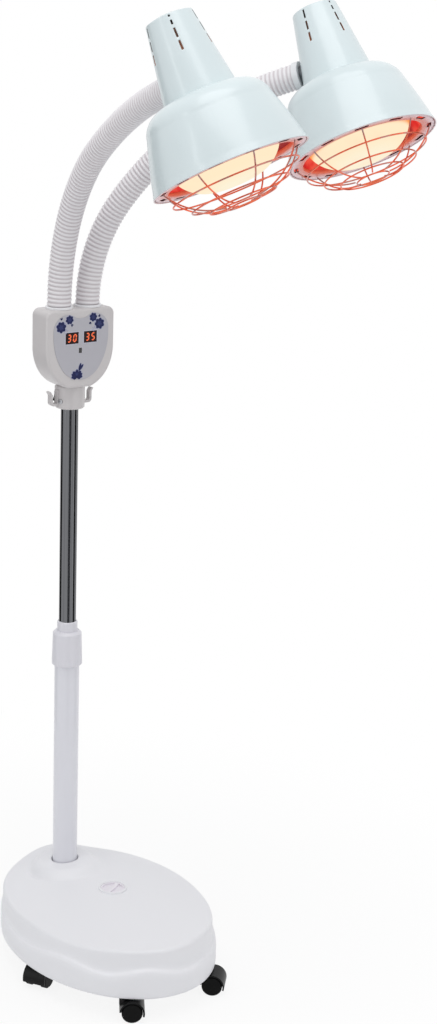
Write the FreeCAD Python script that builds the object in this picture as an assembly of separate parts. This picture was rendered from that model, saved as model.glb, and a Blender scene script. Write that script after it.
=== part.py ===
import FreeCAD, Part
import math
import os

os.makedirs("parts", exist_ok=True)
V = FreeCAD.Vector

# Infrared heat therapy lamp: a castered, ballasted base, a two-part column with a
# twist lock, a control box, and two bendable arms that each carry a shaded lamp head.
# Millimetres. Origin on the floor below the column, +X to the front, +Z up.

# --- base: a blow-moulded tank in two soft oval tiers -------------------------------
base_length = 340.0
base_width = 246.0
base_centre_x = 103.0
skirt_bottom_z = 30.0
base_top_z = 98.0
tier_step_z = 62.0
tier_inset = 6.0
tank_wall = 4.0
underside_recess = 4.0
top_edge_radius = 22.0
pole_mound_rise = 6.0
pole_mound_foot_radius = 36.0
pole_mound_top_radius = 24.0
step_edge_radius = 7.0
ballast_top_z = 76.0

# --- filler neck and its quarter-turn plug ------------------------------------------
filler_x = 97.0
filler_y = 12.0
filler_ring_radius = 18.5
filler_ring_rise = 1.0
filler_flange_radius = 15.5
filler_bore_radius = 13.2
filler_ledge_depth = 6.0
filler_flange_thickness = 3.5
filler_barrel_length = 14.0
filler_barrel_wall = 1.6
filler_dish_depth = 2.4
filler_grip_width = 5.0
filler_grip_angle = 121.0
filler_seal_thickness = 1.4

# --- casters --------------------------------------------------------------------------
caster_front_inset = 36.0
caster_front_spread = 62.0
caster_side_inset = 24.0
caster_side_forward = 3.0
caster_rear_inset = 25.0
caster_headings = [237.0, 227.0, 200.0, 30.0, 120.0]
wheel_radius = 13.0
wheel_width = 9.0
wheel_edge_radius = 1.5
wheel_face_wall = 2.0
caster_trail = 9.0
caster_web = 11.0
fork_gap = 0.4
hood_gap = 0.9
hood_wall = 1.9
hood_front_angle = 8.0
hood_rear_angle = 196.0
axle_radius = 2.0
stem_radius = 4.0
stem_length = 26.0
stem_sleeve_wall = 4.0
stem_collar_wall = 3.0
stem_well_gap = 1.0

# --- column -----------------------------------------------------------------------------
lower_tube_radius = 16.0
lower_tube_wall = 1.5
lower_tube_top_z = 412.0
pole_socket_wall = 5.0
pole_socket_floor = 10.0
foot_plug_height = 28.0
bolt_radius = 4.0
bolt_head_radius = 7.0
bolt_head_height = 5.0
washer_thickness = 1.6
washer_radius = 9.0
upper_tube_radius = 11.0
upper_tube_wall = 1.2
upper_tube_bottom_z = 287.0
guide_bush_height = 30.0
lock_skirt = 34.0
lock_rise = 12.0
lock_bottom_radius = 19.6
lock_top_radius = 18.4
lock_flutes = 12
lock_flute_radius = 5.0
lock_flute_depth = 0.7
insert_rise = 25.0
insert_radius = 13.0
insert_depth = 26.0

# --- neck sleeve --------------------------------------------------------------------------
sleeve_bottom_z = 717.0
sleeve_height = 29.0
sleeve_radius = 18.5
sleeve_cap = 4.0
sleeve_seat_margin = 2.0
sleeve_edge = 1.5
spigot_radius = 12.6
spigot_wall = 2.4
spigot_rise = 22.0
clamp_screw_z = 727.0
clamp_screw_turn = 110.0

# --- control box, centred a little forward of the column -----------------------------------
box_centre_x = 6.0
box_height = 98.0
box_width = 97.5
box_depth = 36.0
box_tip_width = 32.0
box_corner_radius = 9.0
box_flank_length = 39.0
box_flank_radius = 60.0
box_flank_turn = 25.0
box_edge_radius = 3.2
box_wall = 2.4
fascia_width = 79.0
fascia_top_drop = 6.0
fascia_bottom_rise = 10.0
fascia_lobe_radius = 20.0
fascia_dip = 5.5
fascia_side_length = 6.0
fascia_waist_width = 54.0
fascia_waist_drop = 41.0
fascia_thickness = 1.2
fascia_recess = 0.6
display_width = 19.0
display_height = 14.5
display_depth = 9.0
display_drop = 35.0
display_offset = 13.2
window_width = 4.4
window_height = 6.4
window_y = -1.0
window_drop = 51.0
window_depth = 4.0
board_thickness = 1.6
board_width = 62.0
board_height = 36.0
board_gap = 1.5
relay_size = 12.0
relay_offset = 15.5
relay_rise = 4.0
box_screw_radius = 1.5
box_screw_head_radius = 3.0
box_screw_head_height = 2.2
box_screw_length = 20.0
screw_slot_width = 0.8
screw_slot_length = 4.0
box_boss_radius = 4.0
upper_screw_y = 40.0
upper_screw_drop = 24.0
lower_screw_y = 27.0
lower_screw_rise = 26.0
gland_bore_radius = 3.6
gland_radius = 6.5
gland_flange_radius = 9.0
gland_flange_thickness = 2.0
gland_length = 15.0
gland_rise = 32.0

# --- switch and hooks on the neck sleeve ----------------------------------------------------
switch_azimuth = 225.0
switch_z = 730.0
switch_height = 15.0
switch_width = 10.0
switch_face = 17.6
switch_bezel = 1.0
switch_lip = 0.8
switch_floor = 1.0
rocker_height = 12.0
rocker_width = 6.5
rocker_throw = 20.0
rocker_rise = 2.2
rocker_depth = 4.2
rocker_heel = 2.8
hook_reach = 11.5
hook_low_z = 721.0
hook_rise = 18.0
hook_thickness = 3.2
hook_width = 7.0
hook_flare = 2.6
hook_bend = 5.0
hook_tip_height = 4.0
hook_pad = 1.6
hook_pad_rise = 2.0

# --- arms: each a flexible hose kept as three stiff lengths with a bend between them --------
hose_radius = 15.0
hose_wall = 3.0
hose_spacing = 41.0
arm_names = ["left", "right"]
arm_side = [-1.0, 1.0]
arm_azimuth = [-6.5, 33.3]
arm_rise_radius = [244.8, 217.5]
arm_reach_radius = [535.6, 432.9]
arm_crest_elevation = [35.0, 54.2]
arm_end_elevation = [14.3, 17.4]
head_roll = [14.1, -13.2]
low_bend_share = 0.60
high_bend_share = 0.50
low_bend_limit = 25.0
high_bend_limit = 30.0
bend_spare = 0.5
ball_inset = 1.0
bend_plug_length = 14.0
ferrule_wall = 2.6
ferrule_depth = 14.0
ferrule_flange_radius = 17.2
ferrule_flange_height = 2.6
ferrule_edge = 0.8
root_ring_height = 3.2
hose_cap_radius = 16.4
hose_cap_grip = 5.0
hose_cap_plate = 2.0
head_stud_radius = 6.0
head_nut_radius = 9.0
head_nut_height = 3.2

# --- lamp heads: radius and height of the shade above its rim --------------------------------
rim_radius = 88.0
lip_radius = 83.0
lip_height = 8.0
skirt_mid_radius = 77.2
skirt_mid_height = 35.0
skirt_top_radius = 70.5
skirt_top_height = 61.0
shoulder_radius = 62.0
shoulder_height = 76.5
neck_radius = 41.3
neck_height = 84.0
crown_radius = 26.6
crown_height = 171.0
crown_rise = 5.0
shade_wall = 1.2
attach_height = 108.0
boss_radius = 9.5
boss_proud = 2.0
boss_inward = 4.2
vent_rows = 5
vent_phase = 78.8
vent_width = 3.0
vent_gap = 3.8
vent_first_height = 129.5
vent_long_row = [10.6, 10.6, 10.6]
vent_short_row = [10.6, 10.6, 5.3, 2.2]
trim_opening_radius = 71.0
trim_height = 2.0
trim_thickness = 1.2
trim_lip_height = 5.0
trim_slots = 12
slot_length = 16.0
slot_width = 4.0
slot_circle_radius = 79.5
bulb_radius = 62.5
bulb_widest_height = 18.0
bulb_side_radius = 54.4
bulb_side_height = 40.0
bulb_waist_radius = 37.5
bulb_waist_height = 64.0
bulb_face_drop = 10.0
bulb_neck_radius = 17.5
bulb_neck_height = 104.0
bulb_cap_radius = 13.3
bulb_cap_bottom = 114.0
bulb_cap_length = 30.0
bulb_glass = 1.4
holder_radius = 20.0
holder_bottom = 117.0
holder_length = 42.0
holder_flange = 3.0
guard_wire_radius = 1.1
guard_depth = 35.0
guard_hub_radius = 19.0
guard_middle_radius = 54.0
guard_middle_depth = 25.0
guard_rings = [70.0, 54.0, 37.0, 19.0]
guard_spokes = 8
guard_spoke_phase = 79.5
short_spoke_radius = 75.0
hook_tail = 5.0

# --- clearances ---------------------------------------------------------------------------------
running_fit = 0.05
seat_gap = 0.05
moving_gap = 0.3
weld_gap = 0.02

X_AXIS = V(1, 0, 0)
Y_AXIS = V(0, 1, 0)
Z_AXIS = V(0, 0, 1)
ORIGIN = V(0, 0, 0)


# ------------------------------------------------------------------------------------------------
# small building functions
# ------------------------------------------------------------------------------------------------
def rod(radius, low, high, x=0.0, y=0.0):
    """Upright cylinder between two heights."""
    return Part.makeCylinder(radius, high - low, V(x, y, low))


def tube(outer, inner, low, high, x=0.0, y=0.0):
    """Upright tube between two heights."""
    return rod(outer, low, high, x, y).cut(rod(inner, low - 1, high + 1, x, y))


def block(x0, x1, y0, y1, z0, z1):
    """Box between two corners."""
    return Part.makeBox(x1 - x0, y1 - y0, z1 - z0, V(x0, y0, z0))


def polar(radius, degrees, z=0.0):
    """Point at a radius and an angle about the Z axis."""
    angle = math.radians(degrees)
    return V(radius * math.cos(angle), radius * math.sin(angle), z)


def turned(shape, degrees, axis=Z_AXIS, centre=ORIGIN):
    """Copy of a shape turned about a line."""
    copy = shape.copy()
    copy.rotate(centre, axis, degrees)
    return copy


def moved(shape, offset):
    """Copy of a shape shifted by a vector."""
    copy = shape.copy()
    copy.translate(offset)
    return copy


def revolved(points):
    """Solid of revolution about Z from (radius, height) points joined by straight lines."""
    corners = [V(radius, 0, height) for radius, height in points]
    face = Part.Face(Part.makePolygon(corners + [corners[0]]))
    return face.revolve(ORIGIN, Z_AXIS, 360)


def edges_at(shape, height, tolerance=0.01):
    """Edges that lie flat at one height."""
    found = []
    for edge in shape.Edges:
        box = edge.BoundBox
        if abs(box.ZMin - height) < tolerance and abs(box.ZMax - height) < tolerance:
            found.append(edge)
    return found


def save(name, *solids):
    """Write one node: a single solid, or a group of separate ones."""
    loose = []
    for shape in solids:
        loose.extend(shape.Solids)
    whole = loose[0] if len(loose) == 1 else Part.makeCompound(loose)
    whole.exportStep("parts/" + name + ".step")


# ------------------------------------------------------------------------------------------------
# base tank, ballast and filler
# ------------------------------------------------------------------------------------------------
def oval(inset, low, high):
    """Upright oval block, the base's outline drawn in by an inset."""
    ellipse = Part.Ellipse(V(base_centre_x, 0, low), base_length / 2 - inset, base_width / 2 - inset)
    face = Part.Face(Part.Wire([ellipse.toShape()]))
    return face.extrude(V(0, 0, high - low))


def two_tiers(inset, low, high):
    """The tank's two-tier form, drawn in by an inset on every side."""
    step = tier_step_z - inset
    lower = oval(inset, low, step)
    lower = lower.makeFillet(max(step_edge_radius - inset, 1.0), edges_at(lower, step))
    upper = oval(inset + tier_inset, low, high)
    upper = upper.makeFillet(max(top_edge_radius - inset, 1.0), edges_at(upper, high))
    return lower.fuse(upper)


floor_z = skirt_bottom_z + underside_recess
tank_floor_z = floor_z + tank_wall
socket_floor_z = floor_z + pole_socket_floor
stem_top_z = skirt_bottom_z - 2.0 + stem_length
filler_top_z = base_top_z + filler_ring_rise
filler_ledge_z = filler_top_z - filler_ledge_depth
filler_neck_low_z = filler_ledge_z - filler_barrel_length - 2.0
caster_front_x = base_centre_x + base_length / 2 - caster_front_inset
caster_side_x = base_centre_x + caster_side_forward
caster_rear_x = base_centre_x - base_length / 2 + caster_rear_inset
caster_side_y = base_width / 2 - caster_side_inset
caster_places = [(caster_front_x, -caster_front_spread), (caster_front_x, caster_front_spread),
                 (caster_side_x, caster_side_y), (caster_rear_x, 0.0), (caster_side_x, -caster_side_y)]


def inner_posts():
    """The sleeves moulded inside the tank for the pole, the caster stems and the filler neck."""
    posts = rod(lower_tube_radius + pole_socket_wall, floor_z, base_top_z)
    for x, y in caster_places:
        posts = posts.fuse(rod(stem_radius + stem_sleeve_wall, floor_z, stem_top_z + stem_sleeve_wall, x, y))
    return posts


def base_shell():
    """Hollow tank with its sockets, open only at the filler neck."""
    shell = two_tiers(0.0, skirt_bottom_z, base_top_z)
    shell = shell.cut(oval(tier_inset, skirt_bottom_z - 1, floor_z))
    shell = shell.cut(two_tiers(tank_wall, tank_floor_z, base_top_z - tank_wall))
    shell = shell.fuse(inner_posts())
    shell = shell.fuse(Part.makeCone(pole_mound_foot_radius, pole_mound_top_radius, pole_mound_rise,
                                     V(0, 0, base_top_z)))
    shell = shell.fuse(rod(filler_ring_radius, filler_neck_low_z, filler_top_z, filler_x, filler_y))
    shell = shell.cut(rod(lower_tube_radius + seat_gap, socket_floor_z, base_top_z + pole_mound_rise + 1))
    shell = shell.cut(rod(bolt_radius + seat_gap, floor_z - 1, socket_floor_z + 1))
    well_radius = stem_radius + stem_collar_wall + stem_well_gap
    for x, y in caster_places:
        shell = shell.cut(rod(well_radius, skirt_bottom_z - 1, floor_z, x, y))
        shell = shell.cut(rod(stem_radius + running_fit, floor_z - 1, stem_top_z + moving_gap, x, y))
    shell = shell.cut(rod(filler_bore_radius + moving_gap, filler_neck_low_z - 1, filler_top_z + 1,
                          filler_x, filler_y))
    return shell.cut(rod(filler_flange_radius + moving_gap, filler_ledge_z, filler_top_z + 1,
                         filler_x, filler_y))


def ballast():
    """Sand that fills the tank to its level, round the sockets."""
    fill = two_tiers(tank_wall + seat_gap, tank_floor_z + seat_gap, base_top_z - tank_wall)
    fill = fill.cut(oval(-1.0, ballast_top_z, base_top_z + 1))
    fill = fill.cut(rod(lower_tube_radius + pole_socket_wall + seat_gap, floor_z, base_top_z))
    for x, y in caster_places:
        sleeve = stem_radius + stem_sleeve_wall + seat_gap
        fill = fill.cut(rod(sleeve, floor_z, stem_top_z + stem_sleeve_wall + seat_gap, x, y))
    return fill.cut(rod(filler_ring_radius + seat_gap, filler_neck_low_z - seat_gap, base_top_z,
                        filler_x, filler_y))


def filler_plug():
    """Quarter-turn plug: a hollow barrel below a dished flange with a finger bar across it."""
    low = filler_ledge_z + filler_seal_thickness + running_fit
    high = low + filler_flange_thickness
    plug = rod(filler_flange_radius, low, high)
    plug = plug.fuse(rod(filler_bore_radius, low - filler_barrel_length, low))
    plug = plug.cut(rod(filler_bore_radius - filler_barrel_wall, low - filler_barrel_length - 1, low - 1))
    dish = rod(filler_flange_radius - 2.0, high - filler_dish_depth, high + 1)
    grip_reach = filler_flange_radius - 1.0
    grip = block(-grip_reach, grip_reach, -filler_grip_width / 2, filler_grip_width / 2,
                 high - filler_dish_depth, high + 1)
    plug = plug.cut(dish.cut(turned(grip, filler_grip_angle)))
    return moved(plug, V(filler_x, filler_y, 0))


def filler_seal():
    """Flat rubber ring on the neck's ledge, below the plug's flange."""
    return tube(filler_flange_radius, filler_bore_radius + moving_gap, filler_ledge_z,
                filler_ledge_z + filler_seal_thickness, filler_x, filler_y)


save("base_shell", base_shell())
save("ballast_fill", ballast())
save("filler_plug", filler_plug())
save("filler_seal", filler_seal())


# ------------------------------------------------------------------------------------------------
# casters
# ------------------------------------------------------------------------------------------------
hood_radius = wheel_radius + hood_gap + hood_wall
wheel_inner = caster_web / 2 + fork_gap
wheel_bore_reach = wheel_inner + wheel_width - wheel_face_wall
hood_half_width = wheel_inner + wheel_width + fork_gap
hood_top_z = wheel_radius + hood_radius


def across(radius, half_width, x=0.0, z=0.0):
    """Cylinder lying along Y, centred on it."""
    return Part.makeCylinder(radius, 2 * half_width, V(x, -half_width, z), Y_AXIS)


def caster_hood():
    """Moulded body: a centre web on the axle and a curved hood over both wheels."""
    axle_x = -caster_trail
    hood = across(hood_radius, hood_half_width, axle_x, wheel_radius)
    hood = hood.cut(across(hood_radius - hood_wall, hood_half_width + 1, axle_x, wheel_radius))
    sector = [V(axle_x, -hood_half_width - 1, wheel_radius)]
    steps = 6
    for step in range(steps + 1):
        angle = hood_front_angle + (hood_rear_angle - hood_front_angle) * step / steps
        reach = polar(2.0 * hood_radius, angle)
        sector.append(V(axle_x + reach.x, -hood_half_width - 1, wheel_radius + reach.y))
    wedge = Part.Face(Part.makePolygon(sector + [sector[0]])).extrude(V(0, 2 * hood_half_width + 2, 0))
    hood = hood.common(wedge)
    web = across(wheel_radius - 2.0, caster_web / 2, axle_x, wheel_radius)
    front_x = stem_radius + 2.0
    web = web.fuse(block(axle_x, front_x, -caster_web / 2, caster_web / 2, wheel_radius - 3.0, hood_top_z - 1.0))
    cover = across(hood_radius, hood_half_width, axle_x, wheel_radius)
    nose = block(0, front_x, -caster_web / 2, caster_web / 2, wheel_radius - 3.0, hood_top_z - 1.0)
    body = hood.fuse(web.common(cover.fuse(nose)))
    body = body.fuse(rod(stem_radius + stem_collar_wall, wheel_radius + 6.0, floor_z - moving_gap))
    wells = across(wheel_radius + hood_gap, hood_half_width + 1, axle_x, wheel_radius)
    wells = wells.cut(across(wheel_radius + hood_gap, caster_web / 2, axle_x, wheel_radius))
    body = body.cut(wells)
    body = body.cut(rod(stem_radius + seat_gap, stem_top_z - stem_length, floor_z + 1))
    return body.cut(across(axle_radius + seat_gap, caster_web, axle_x, wheel_radius))


def caster_pins():
    """Upright steel stem and the axle across the wheels."""
    stem = rod(stem_radius, stem_top_z - stem_length, stem_top_z)
    stem = stem.makeChamfer(0.8, edges_at(stem, stem_top_z))
    axle = across(axle_radius, wheel_bore_reach - moving_gap, -caster_trail, wheel_radius)
    return [stem, axle]


def caster_wheels():
    """Two plain wheels on the axle, one each side of the web, their outer faces closed."""
    disc = Part.makeCylinder(wheel_radius, wheel_width, V(-caster_trail, wheel_inner, wheel_radius), Y_AXIS)
    rims = [edge for edge in disc.Edges if edge.Length > 2 * math.pi * wheel_radius * 0.99]
    disc = disc.makeChamfer(wheel_edge_radius, rims)
    disc = disc.cut(across(axle_radius + running_fit, wheel_bore_reach, -caster_trail, wheel_radius))
    return [disc, turned(disc, 180.0, X_AXIS, V(0, 0, wheel_radius))]


for index, (place, heading) in enumerate(zip(caster_places, caster_headings)):
    label = "caster_" + str(index + 1)
    spot = V(place[0], place[1], 0)
    save(label + "_hood", moved(turned(caster_hood(), heading), spot))
    save(label + "_pins", *[moved(turned(pin, heading), spot) for pin in caster_pins()])
    save(label + "_wheels", *[moved(turned(wheel, heading), spot) for wheel in caster_wheels()])


# ------------------------------------------------------------------------------------------------
# column
# ------------------------------------------------------------------------------------------------
lower_tube_bore = lower_tube_radius - lower_tube_wall
upper_tube_bore = upper_tube_radius - upper_tube_wall
insert_bottom_z = lower_tube_top_z - insert_depth
insert_top_z = lower_tube_top_z + insert_rise
lock_bottom_z = lower_tube_top_z - lock_skirt
lock_top_z = lower_tube_top_z + lock_rise
upper_tube_top_z = sleeve_bottom_z + sleeve_height - sleeve_cap - seat_gap


def foot_plug():
    """Threaded plug fixed in the foot of the lower tube."""
    plug = rod(lower_tube_bore - seat_gap, socket_floor_z, socket_floor_z + foot_plug_height)
    return plug.cut(rod(bolt_radius + seat_gap, socket_floor_z - 1, socket_floor_z + foot_plug_height + 1))


def pole_bolt():
    """Hexagon bolt and washer that hold the column down from the underside."""
    low = floor_z - washer_thickness - bolt_head_height
    corners = [polar(bolt_head_radius, 60 * step, low) for step in range(7)]
    head = Part.Face(Part.makePolygon(corners)).extrude(V(0, 0, bolt_head_height))
    bolt = head.fuse(rod(bolt_radius, low + bolt_head_height, socket_floor_z + foot_plug_height - 4.0))
    washer = tube(washer_radius, bolt_radius + seat_gap, floor_z - washer_thickness, floor_z)
    return [bolt, washer]


def lock_collar():
    """Twist-lock collar: a slightly tapered, fluted nut over the top of the lower tube."""
    edge = 1.6
    outline = [(0, lock_bottom_z), (lock_bottom_radius - edge, lock_bottom_z),
               (lock_bottom_radius, lock_bottom_z + edge), (lock_top_radius, lock_top_z - 2 * edge),
               (lock_top_radius - 2 * edge, lock_top_z), (0, lock_top_z)]
    collar = revolved(outline)
    for step in range(lock_flutes):
        spot = polar(lock_bottom_radius + lock_flute_radius - lock_flute_depth, 360.0 * step / lock_flutes)
        collar = collar.cut(rod(lock_flute_radius, lock_bottom_z - 1, lock_top_z - 6.0, spot.x, spot.y))
    collar = collar.cut(rod(lower_tube_radius + running_fit, lock_bottom_z - 1, lower_tube_top_z + moving_gap))
    return collar.cut(rod(insert_radius + running_fit, lock_bottom_z, lock_top_z + 1))


def collar_insert():
    """Guide bush in the mouth of the lower tube, with a collar that stands above the lock."""
    edge = 1.2
    outline = [(upper_tube_radius + running_fit, insert_bottom_z),
               (lower_tube_bore - seat_gap, insert_bottom_z),
               (lower_tube_bore - seat_gap, lower_tube_top_z - 2.0),
               (insert_radius, lower_tube_top_z - 2.0), (insert_radius, insert_top_z - edge),
               (insert_radius - edge, insert_top_z), (upper_tube_radius + running_fit, insert_top_z)]
    return revolved(outline)


save("pole_foot_plug", foot_plug())
save("pole_bolt", *pole_bolt())
save("lower_pole", tube(lower_tube_radius, lower_tube_bore, socket_floor_z, lower_tube_top_z))
save("lock_collar", lock_collar())
save("collar_insert", collar_insert())
save("guide_bush", tube(lower_tube_bore - running_fit, upper_tube_radius + running_fit,
                        upper_tube_bottom_z, upper_tube_bottom_z + guide_bush_height))
save("upper_pole", tube(upper_tube_radius, upper_tube_bore, upper_tube_bottom_z, upper_tube_top_z))


# ------------------------------------------------------------------------------------------------
# control box
# ------------------------------------------------------------------------------------------------
sleeve_top_z = sleeve_bottom_z + sleeve_height
box_bottom_z = sleeve_top_z
box_top_z = box_bottom_z + box_height
half_depth = box_depth / 2
display_z = box_top_z - display_drop
window_z = box_top_z - window_drop
gland_z = box_bottom_z + gland_rise
hose_root_z = box_top_z + ferrule_flange_height + moving_gap
ferrule_bore = hose_radius - 1.5
ferrule_radius = ferrule_bore + ferrule_wall
fascia_front_x = half_depth - fascia_recess + fascia_thickness
board_front_x = fascia_front_x - display_depth
hose_foot_z = box_top_z - ferrule_depth - moving_gap - root_ring_height
board_low_z = hose_foot_z - board_gap - board_height
screw_seat_x = -box_screw_length / 2 - 1.0
screw_places = []
for side in (-1, 1):
    screw_places.append((side * upper_screw_y, box_top_z - upper_screw_drop))
    screw_places.append((side * lower_screw_y, box_bottom_z + lower_screw_rise))


def smooth_side(x, points, way):
    """Arcs through (y, z) points, each leaving along the way that the last one arrived."""
    edges = []
    here = V(x, points[0][0], points[0][1])
    way = V(0, way[0], way[1])
    for y, z in points[1:]:
        there = V(x, y, z)
        chord = there - here
        across_way = V(0, -way.z, way.y)
        lift = chord.dot(across_way)
        if abs(lift) < 1e-6:
            edges.append(Part.LineSegment(here, there).toShape())
        else:
            centre = here + across_way * (chord.dot(chord) / (2 * lift))
            spoke = (here + there) * 0.5 - centre
            middle = centre + spoke * ((here - centre).Length / spoke.Length)
            edges.append(Part.Arc(here, middle, there).toShape())
            turn = V(0, chord.y / chord.Length, chord.z / chord.Length)
            way = turn * (2 * way.dot(turn)) - way
        here = there
    return edges


def two_sided(x, points, way):
    """Closed outline in a plane of constant x from its right half, joined straight below."""
    flipped = [(-y, z) for y, z in points]
    right = smooth_side(x, points, way)
    left = smooth_side(x, flipped, (-way[0], way[1]))
    edges = right + left
    if points[-1][0] > 0:
        edges.append(Part.LineSegment(V(x, points[-1][0], points[-1][1]),
                                      V(x, flipped[-1][0], flipped[-1][1])).toShape())
    return Part.Wire(Part.__sortEdges__(edges))


def shield_wire(x):
    """Outline of the box: flat top, straight flanks and a rounded taper to a narrow foot."""
    half = box_width / 2
    flank_z = box_top_z - box_corner_radius - box_flank_length
    turn = math.radians(box_flank_turn)
    points = [(0.0, box_top_z), (half - box_corner_radius, box_top_z),
              (half, box_top_z - box_corner_radius), (half, flank_z),
              (half - box_flank_radius * (1 - math.cos(turn)), flank_z - box_flank_radius * math.sin(turn)),
              (box_tip_width / 2, box_bottom_z)]
    return two_sided(x, points, (1.0, 0.0))


def fascia_wire(x):
    """Outline of the fascia: two round lobes with a dip between them, and a rounded point below."""
    half = fascia_width / 2
    top = box_top_z - fascia_top_drop
    lobe_y = half - fascia_lobe_radius
    lobe_z = top - fascia_lobe_radius
    side_z = lobe_z - fascia_side_length
    points = [(0.0, top - fascia_dip), (lobe_y / 2, top - fascia_dip / 2), (lobe_y, top),
              (half, lobe_z), (half, side_z), (fascia_waist_width / 2, side_z - fascia_waist_drop),
              (0.0, box_bottom_z + fascia_bottom_rise)]
    return two_sided(x, points, (1.0, 0.0))


def plate(wire, thickness, grow=0.0):
    """Block of an outline's form from its plane towards the front, grown or shrunk all round."""
    outline = wire.makeOffset2D(grow) if grow else wire
    return Part.Face(outline).extrude(V(thickness, 0, 0))


def box_block():
    """Outer form of the closed box, its front and back edges rounded."""
    body = plate(shield_wire(-half_depth), box_depth)
    rims = []
    for edge in body.Edges:
        if edge.BoundBox.XLength < 0.01:
            rims.append(edge)
    return body.makeFillet(box_edge_radius, rims)


def across_box(radius, x0, x1, y, z):
    """Cylinder along X between two places."""
    return Part.makeCylinder(radius, x1 - x0, V(x0, y, z), X_AXIS)


def box_cuts():
    """Everything that passes through the box's walls."""
    cuts = [rod(spigot_radius + seat_gap, box_bottom_z - 1, box_bottom_z + spigot_rise + 1)]
    for side in arm_side:
        cuts.append(rod(ferrule_radius + seat_gap, box_top_z - ferrule_depth - 1, box_top_z + 1,
                        0, side * hose_spacing / 2))
    cuts.append(across_box(gland_radius + seat_gap, -half_depth - 1, -half_depth + 2 * box_wall, 0, gland_z))
    return cuts


def half_case(front):
    """Front or rear half of the box: a wall all round, screw posts and the openings."""
    outer = box_block()
    shell = outer.cut(plate(shield_wire(-half_depth + box_wall), box_depth - 2 * box_wall, -box_wall))
    reach = half_depth - box_wall / 2
    for y, z in screw_places:
        post = across_box(box_boss_radius, 0 if front else -reach, reach if front else 0, y, z)
        shell = shell.fuse(post)
    x0, x1 = (0.0, half_depth + 1) if front else (-half_depth - 1, 0.0)
    shell = shell.common(block(x0, x1, -box_width, box_width, box_bottom_z - 1, box_top_z + 1))
    for cut in box_cuts():
        shell = shell.cut(cut)
    return shell


def box_front():
    """Front half with the fascia's recess, display windows and blind screw holes."""
    case = half_case(True)
    case = case.cut(plate(fascia_wire(half_depth - fascia_recess), 2 * fascia_recess, seat_gap))
    for side in (-1, 1):
        case = case.cut(display_block(side, half_depth - 2 * box_wall, half_depth + 1, seat_gap))
    case = case.cut(window_block(half_depth - 2 * box_wall, half_depth + 1, seat_gap))
    for y, z in screw_places:
        case = case.cut(across_box(box_screw_radius, -1, box_screw_length / 2, y, z))
    return case


def box_rear():
    """Rear half with counterbored screw holes and the cable hole."""
    case = half_case(False)
    for y, z in screw_places:
        case = case.cut(across_box(box_screw_radius + seat_gap, -half_depth - 1, 1, y, z))
        case = case.cut(across_box(box_screw_head_radius + seat_gap, -half_depth - 1, screw_seat_x, y, z))
    return case


def display_block(side, x0, x1, grow):
    """Block of one display's outline."""
    y = side * display_offset
    return block(x0, x1, y - display_width / 2 - grow, y + display_width / 2 + grow,
                 display_z - display_height / 2 - grow, display_z + display_height / 2 + grow)


def window_block(x0, x1, grow):
    """Block of the receiver window's outline."""
    return block(x0, x1, window_y - window_width / 2 - grow, window_y + window_width / 2 + grow,
                 window_z - window_height / 2 - grow, window_z + window_height / 2 + grow)


def fascia_panel():
    """Thin panel let into the front face."""
    low = half_depth - fascia_recess
    panel = plate(fascia_wire(low), fascia_thickness)
    for side in (-1, 1):
        panel = panel.cut(display_block(side, low - 1, low + 2 * fascia_thickness, seat_gap))
    return panel.cut(window_block(low - 1, low + 2 * fascia_thickness, seat_gap))


def control_board():
    """Circuit board behind the displays, with two relays that switch the lamps."""
    back = board_front_x - board_thickness
    low = board_low_z
    board = block(back, board_front_x, -board_width / 2, board_width / 2, low, low + board_height)
    for side in (-1, 1):
        y = side * relay_offset
        board = board.fuse(block(back - relay_size, back, y - relay_size / 2, y + relay_size / 2,
                                 low + relay_rise, low + relay_rise + relay_size))
    return board


def pan_screw(start, length, y, z):
    """Cross-head screw along X, its head seated at a place and its shank ahead of it."""
    head = across_box(box_screw_head_radius, start - box_screw_head_height, start, y, z)
    screw = head.fuse(across_box(box_screw_radius, start, start + length, y, z))
    face = start - box_screw_head_height
    deep = face + box_screw_head_height / 3
    wide = screw_slot_width / 2
    long = screw_slot_length / 2
    slot = block(face - 1, deep, y - wide, y + wide, z - long, z + long)
    cross = block(face - 1, deep, y - long, y + long, z - wide, z + wide)
    return screw.cut(slot).cut(cross)


def case_screws():
    """Four screws from the back of the box, and the clamp screw through the neck sleeve."""
    screws = [moved(pan_screw(screw_seat_x, box_screw_length, y, z), box_shift) for y, z in screw_places]
    length = clamp_seat - upper_tube_radius - seat_gap
    screws.append(turned(pan_screw(-clamp_seat, length, 0, clamp_screw_z), clamp_screw_turn))
    return screws


def cable_gland():
    """Rubber bush for the mains lead, low on the back of the box."""
    back = -half_depth
    inside = back + box_wall + seat_gap
    tip = inside + gland_flange_thickness - gland_length
    bush = across_box(gland_radius, back, inside, 0, gland_z)
    bush = bush.fuse(across_box(gland_flange_radius, back - gland_flange_thickness, back, 0, gland_z))
    bush = bush.fuse(across_box(gland_radius + 0.8, inside, inside + gland_flange_thickness, 0, gland_z))
    nose = Part.makeCone(gland_radius - 1.2, gland_radius, back - gland_flange_thickness - tip,
                         V(tip, 0, gland_z), X_AXIS)
    return bush.fuse(nose).cut(across_box(gland_bore_radius, tip - 1, inside + gland_length, 0, gland_z))


clamp_seat = sleeve_radius - box_screw_head_height + 1.2
box_shift = V(box_centre_x, 0, 0)
save("box_front", moved(box_front(), box_shift))
save("box_rear", moved(box_rear(), box_shift))
save("fascia_panel", moved(fascia_panel(), box_shift))
save("display_left", moved(display_block(-1, board_front_x, fascia_front_x, 0.0), box_shift))
save("display_right", moved(display_block(1, board_front_x, fascia_front_x, 0.0), box_shift))
save("receiver_window", moved(window_block(fascia_front_x - window_depth, fascia_front_x, 0.0), box_shift))
save("control_board", moved(control_board(), box_shift))
save("case_screws", *case_screws())
save("cable_gland", moved(cable_gland(), box_shift))


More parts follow.
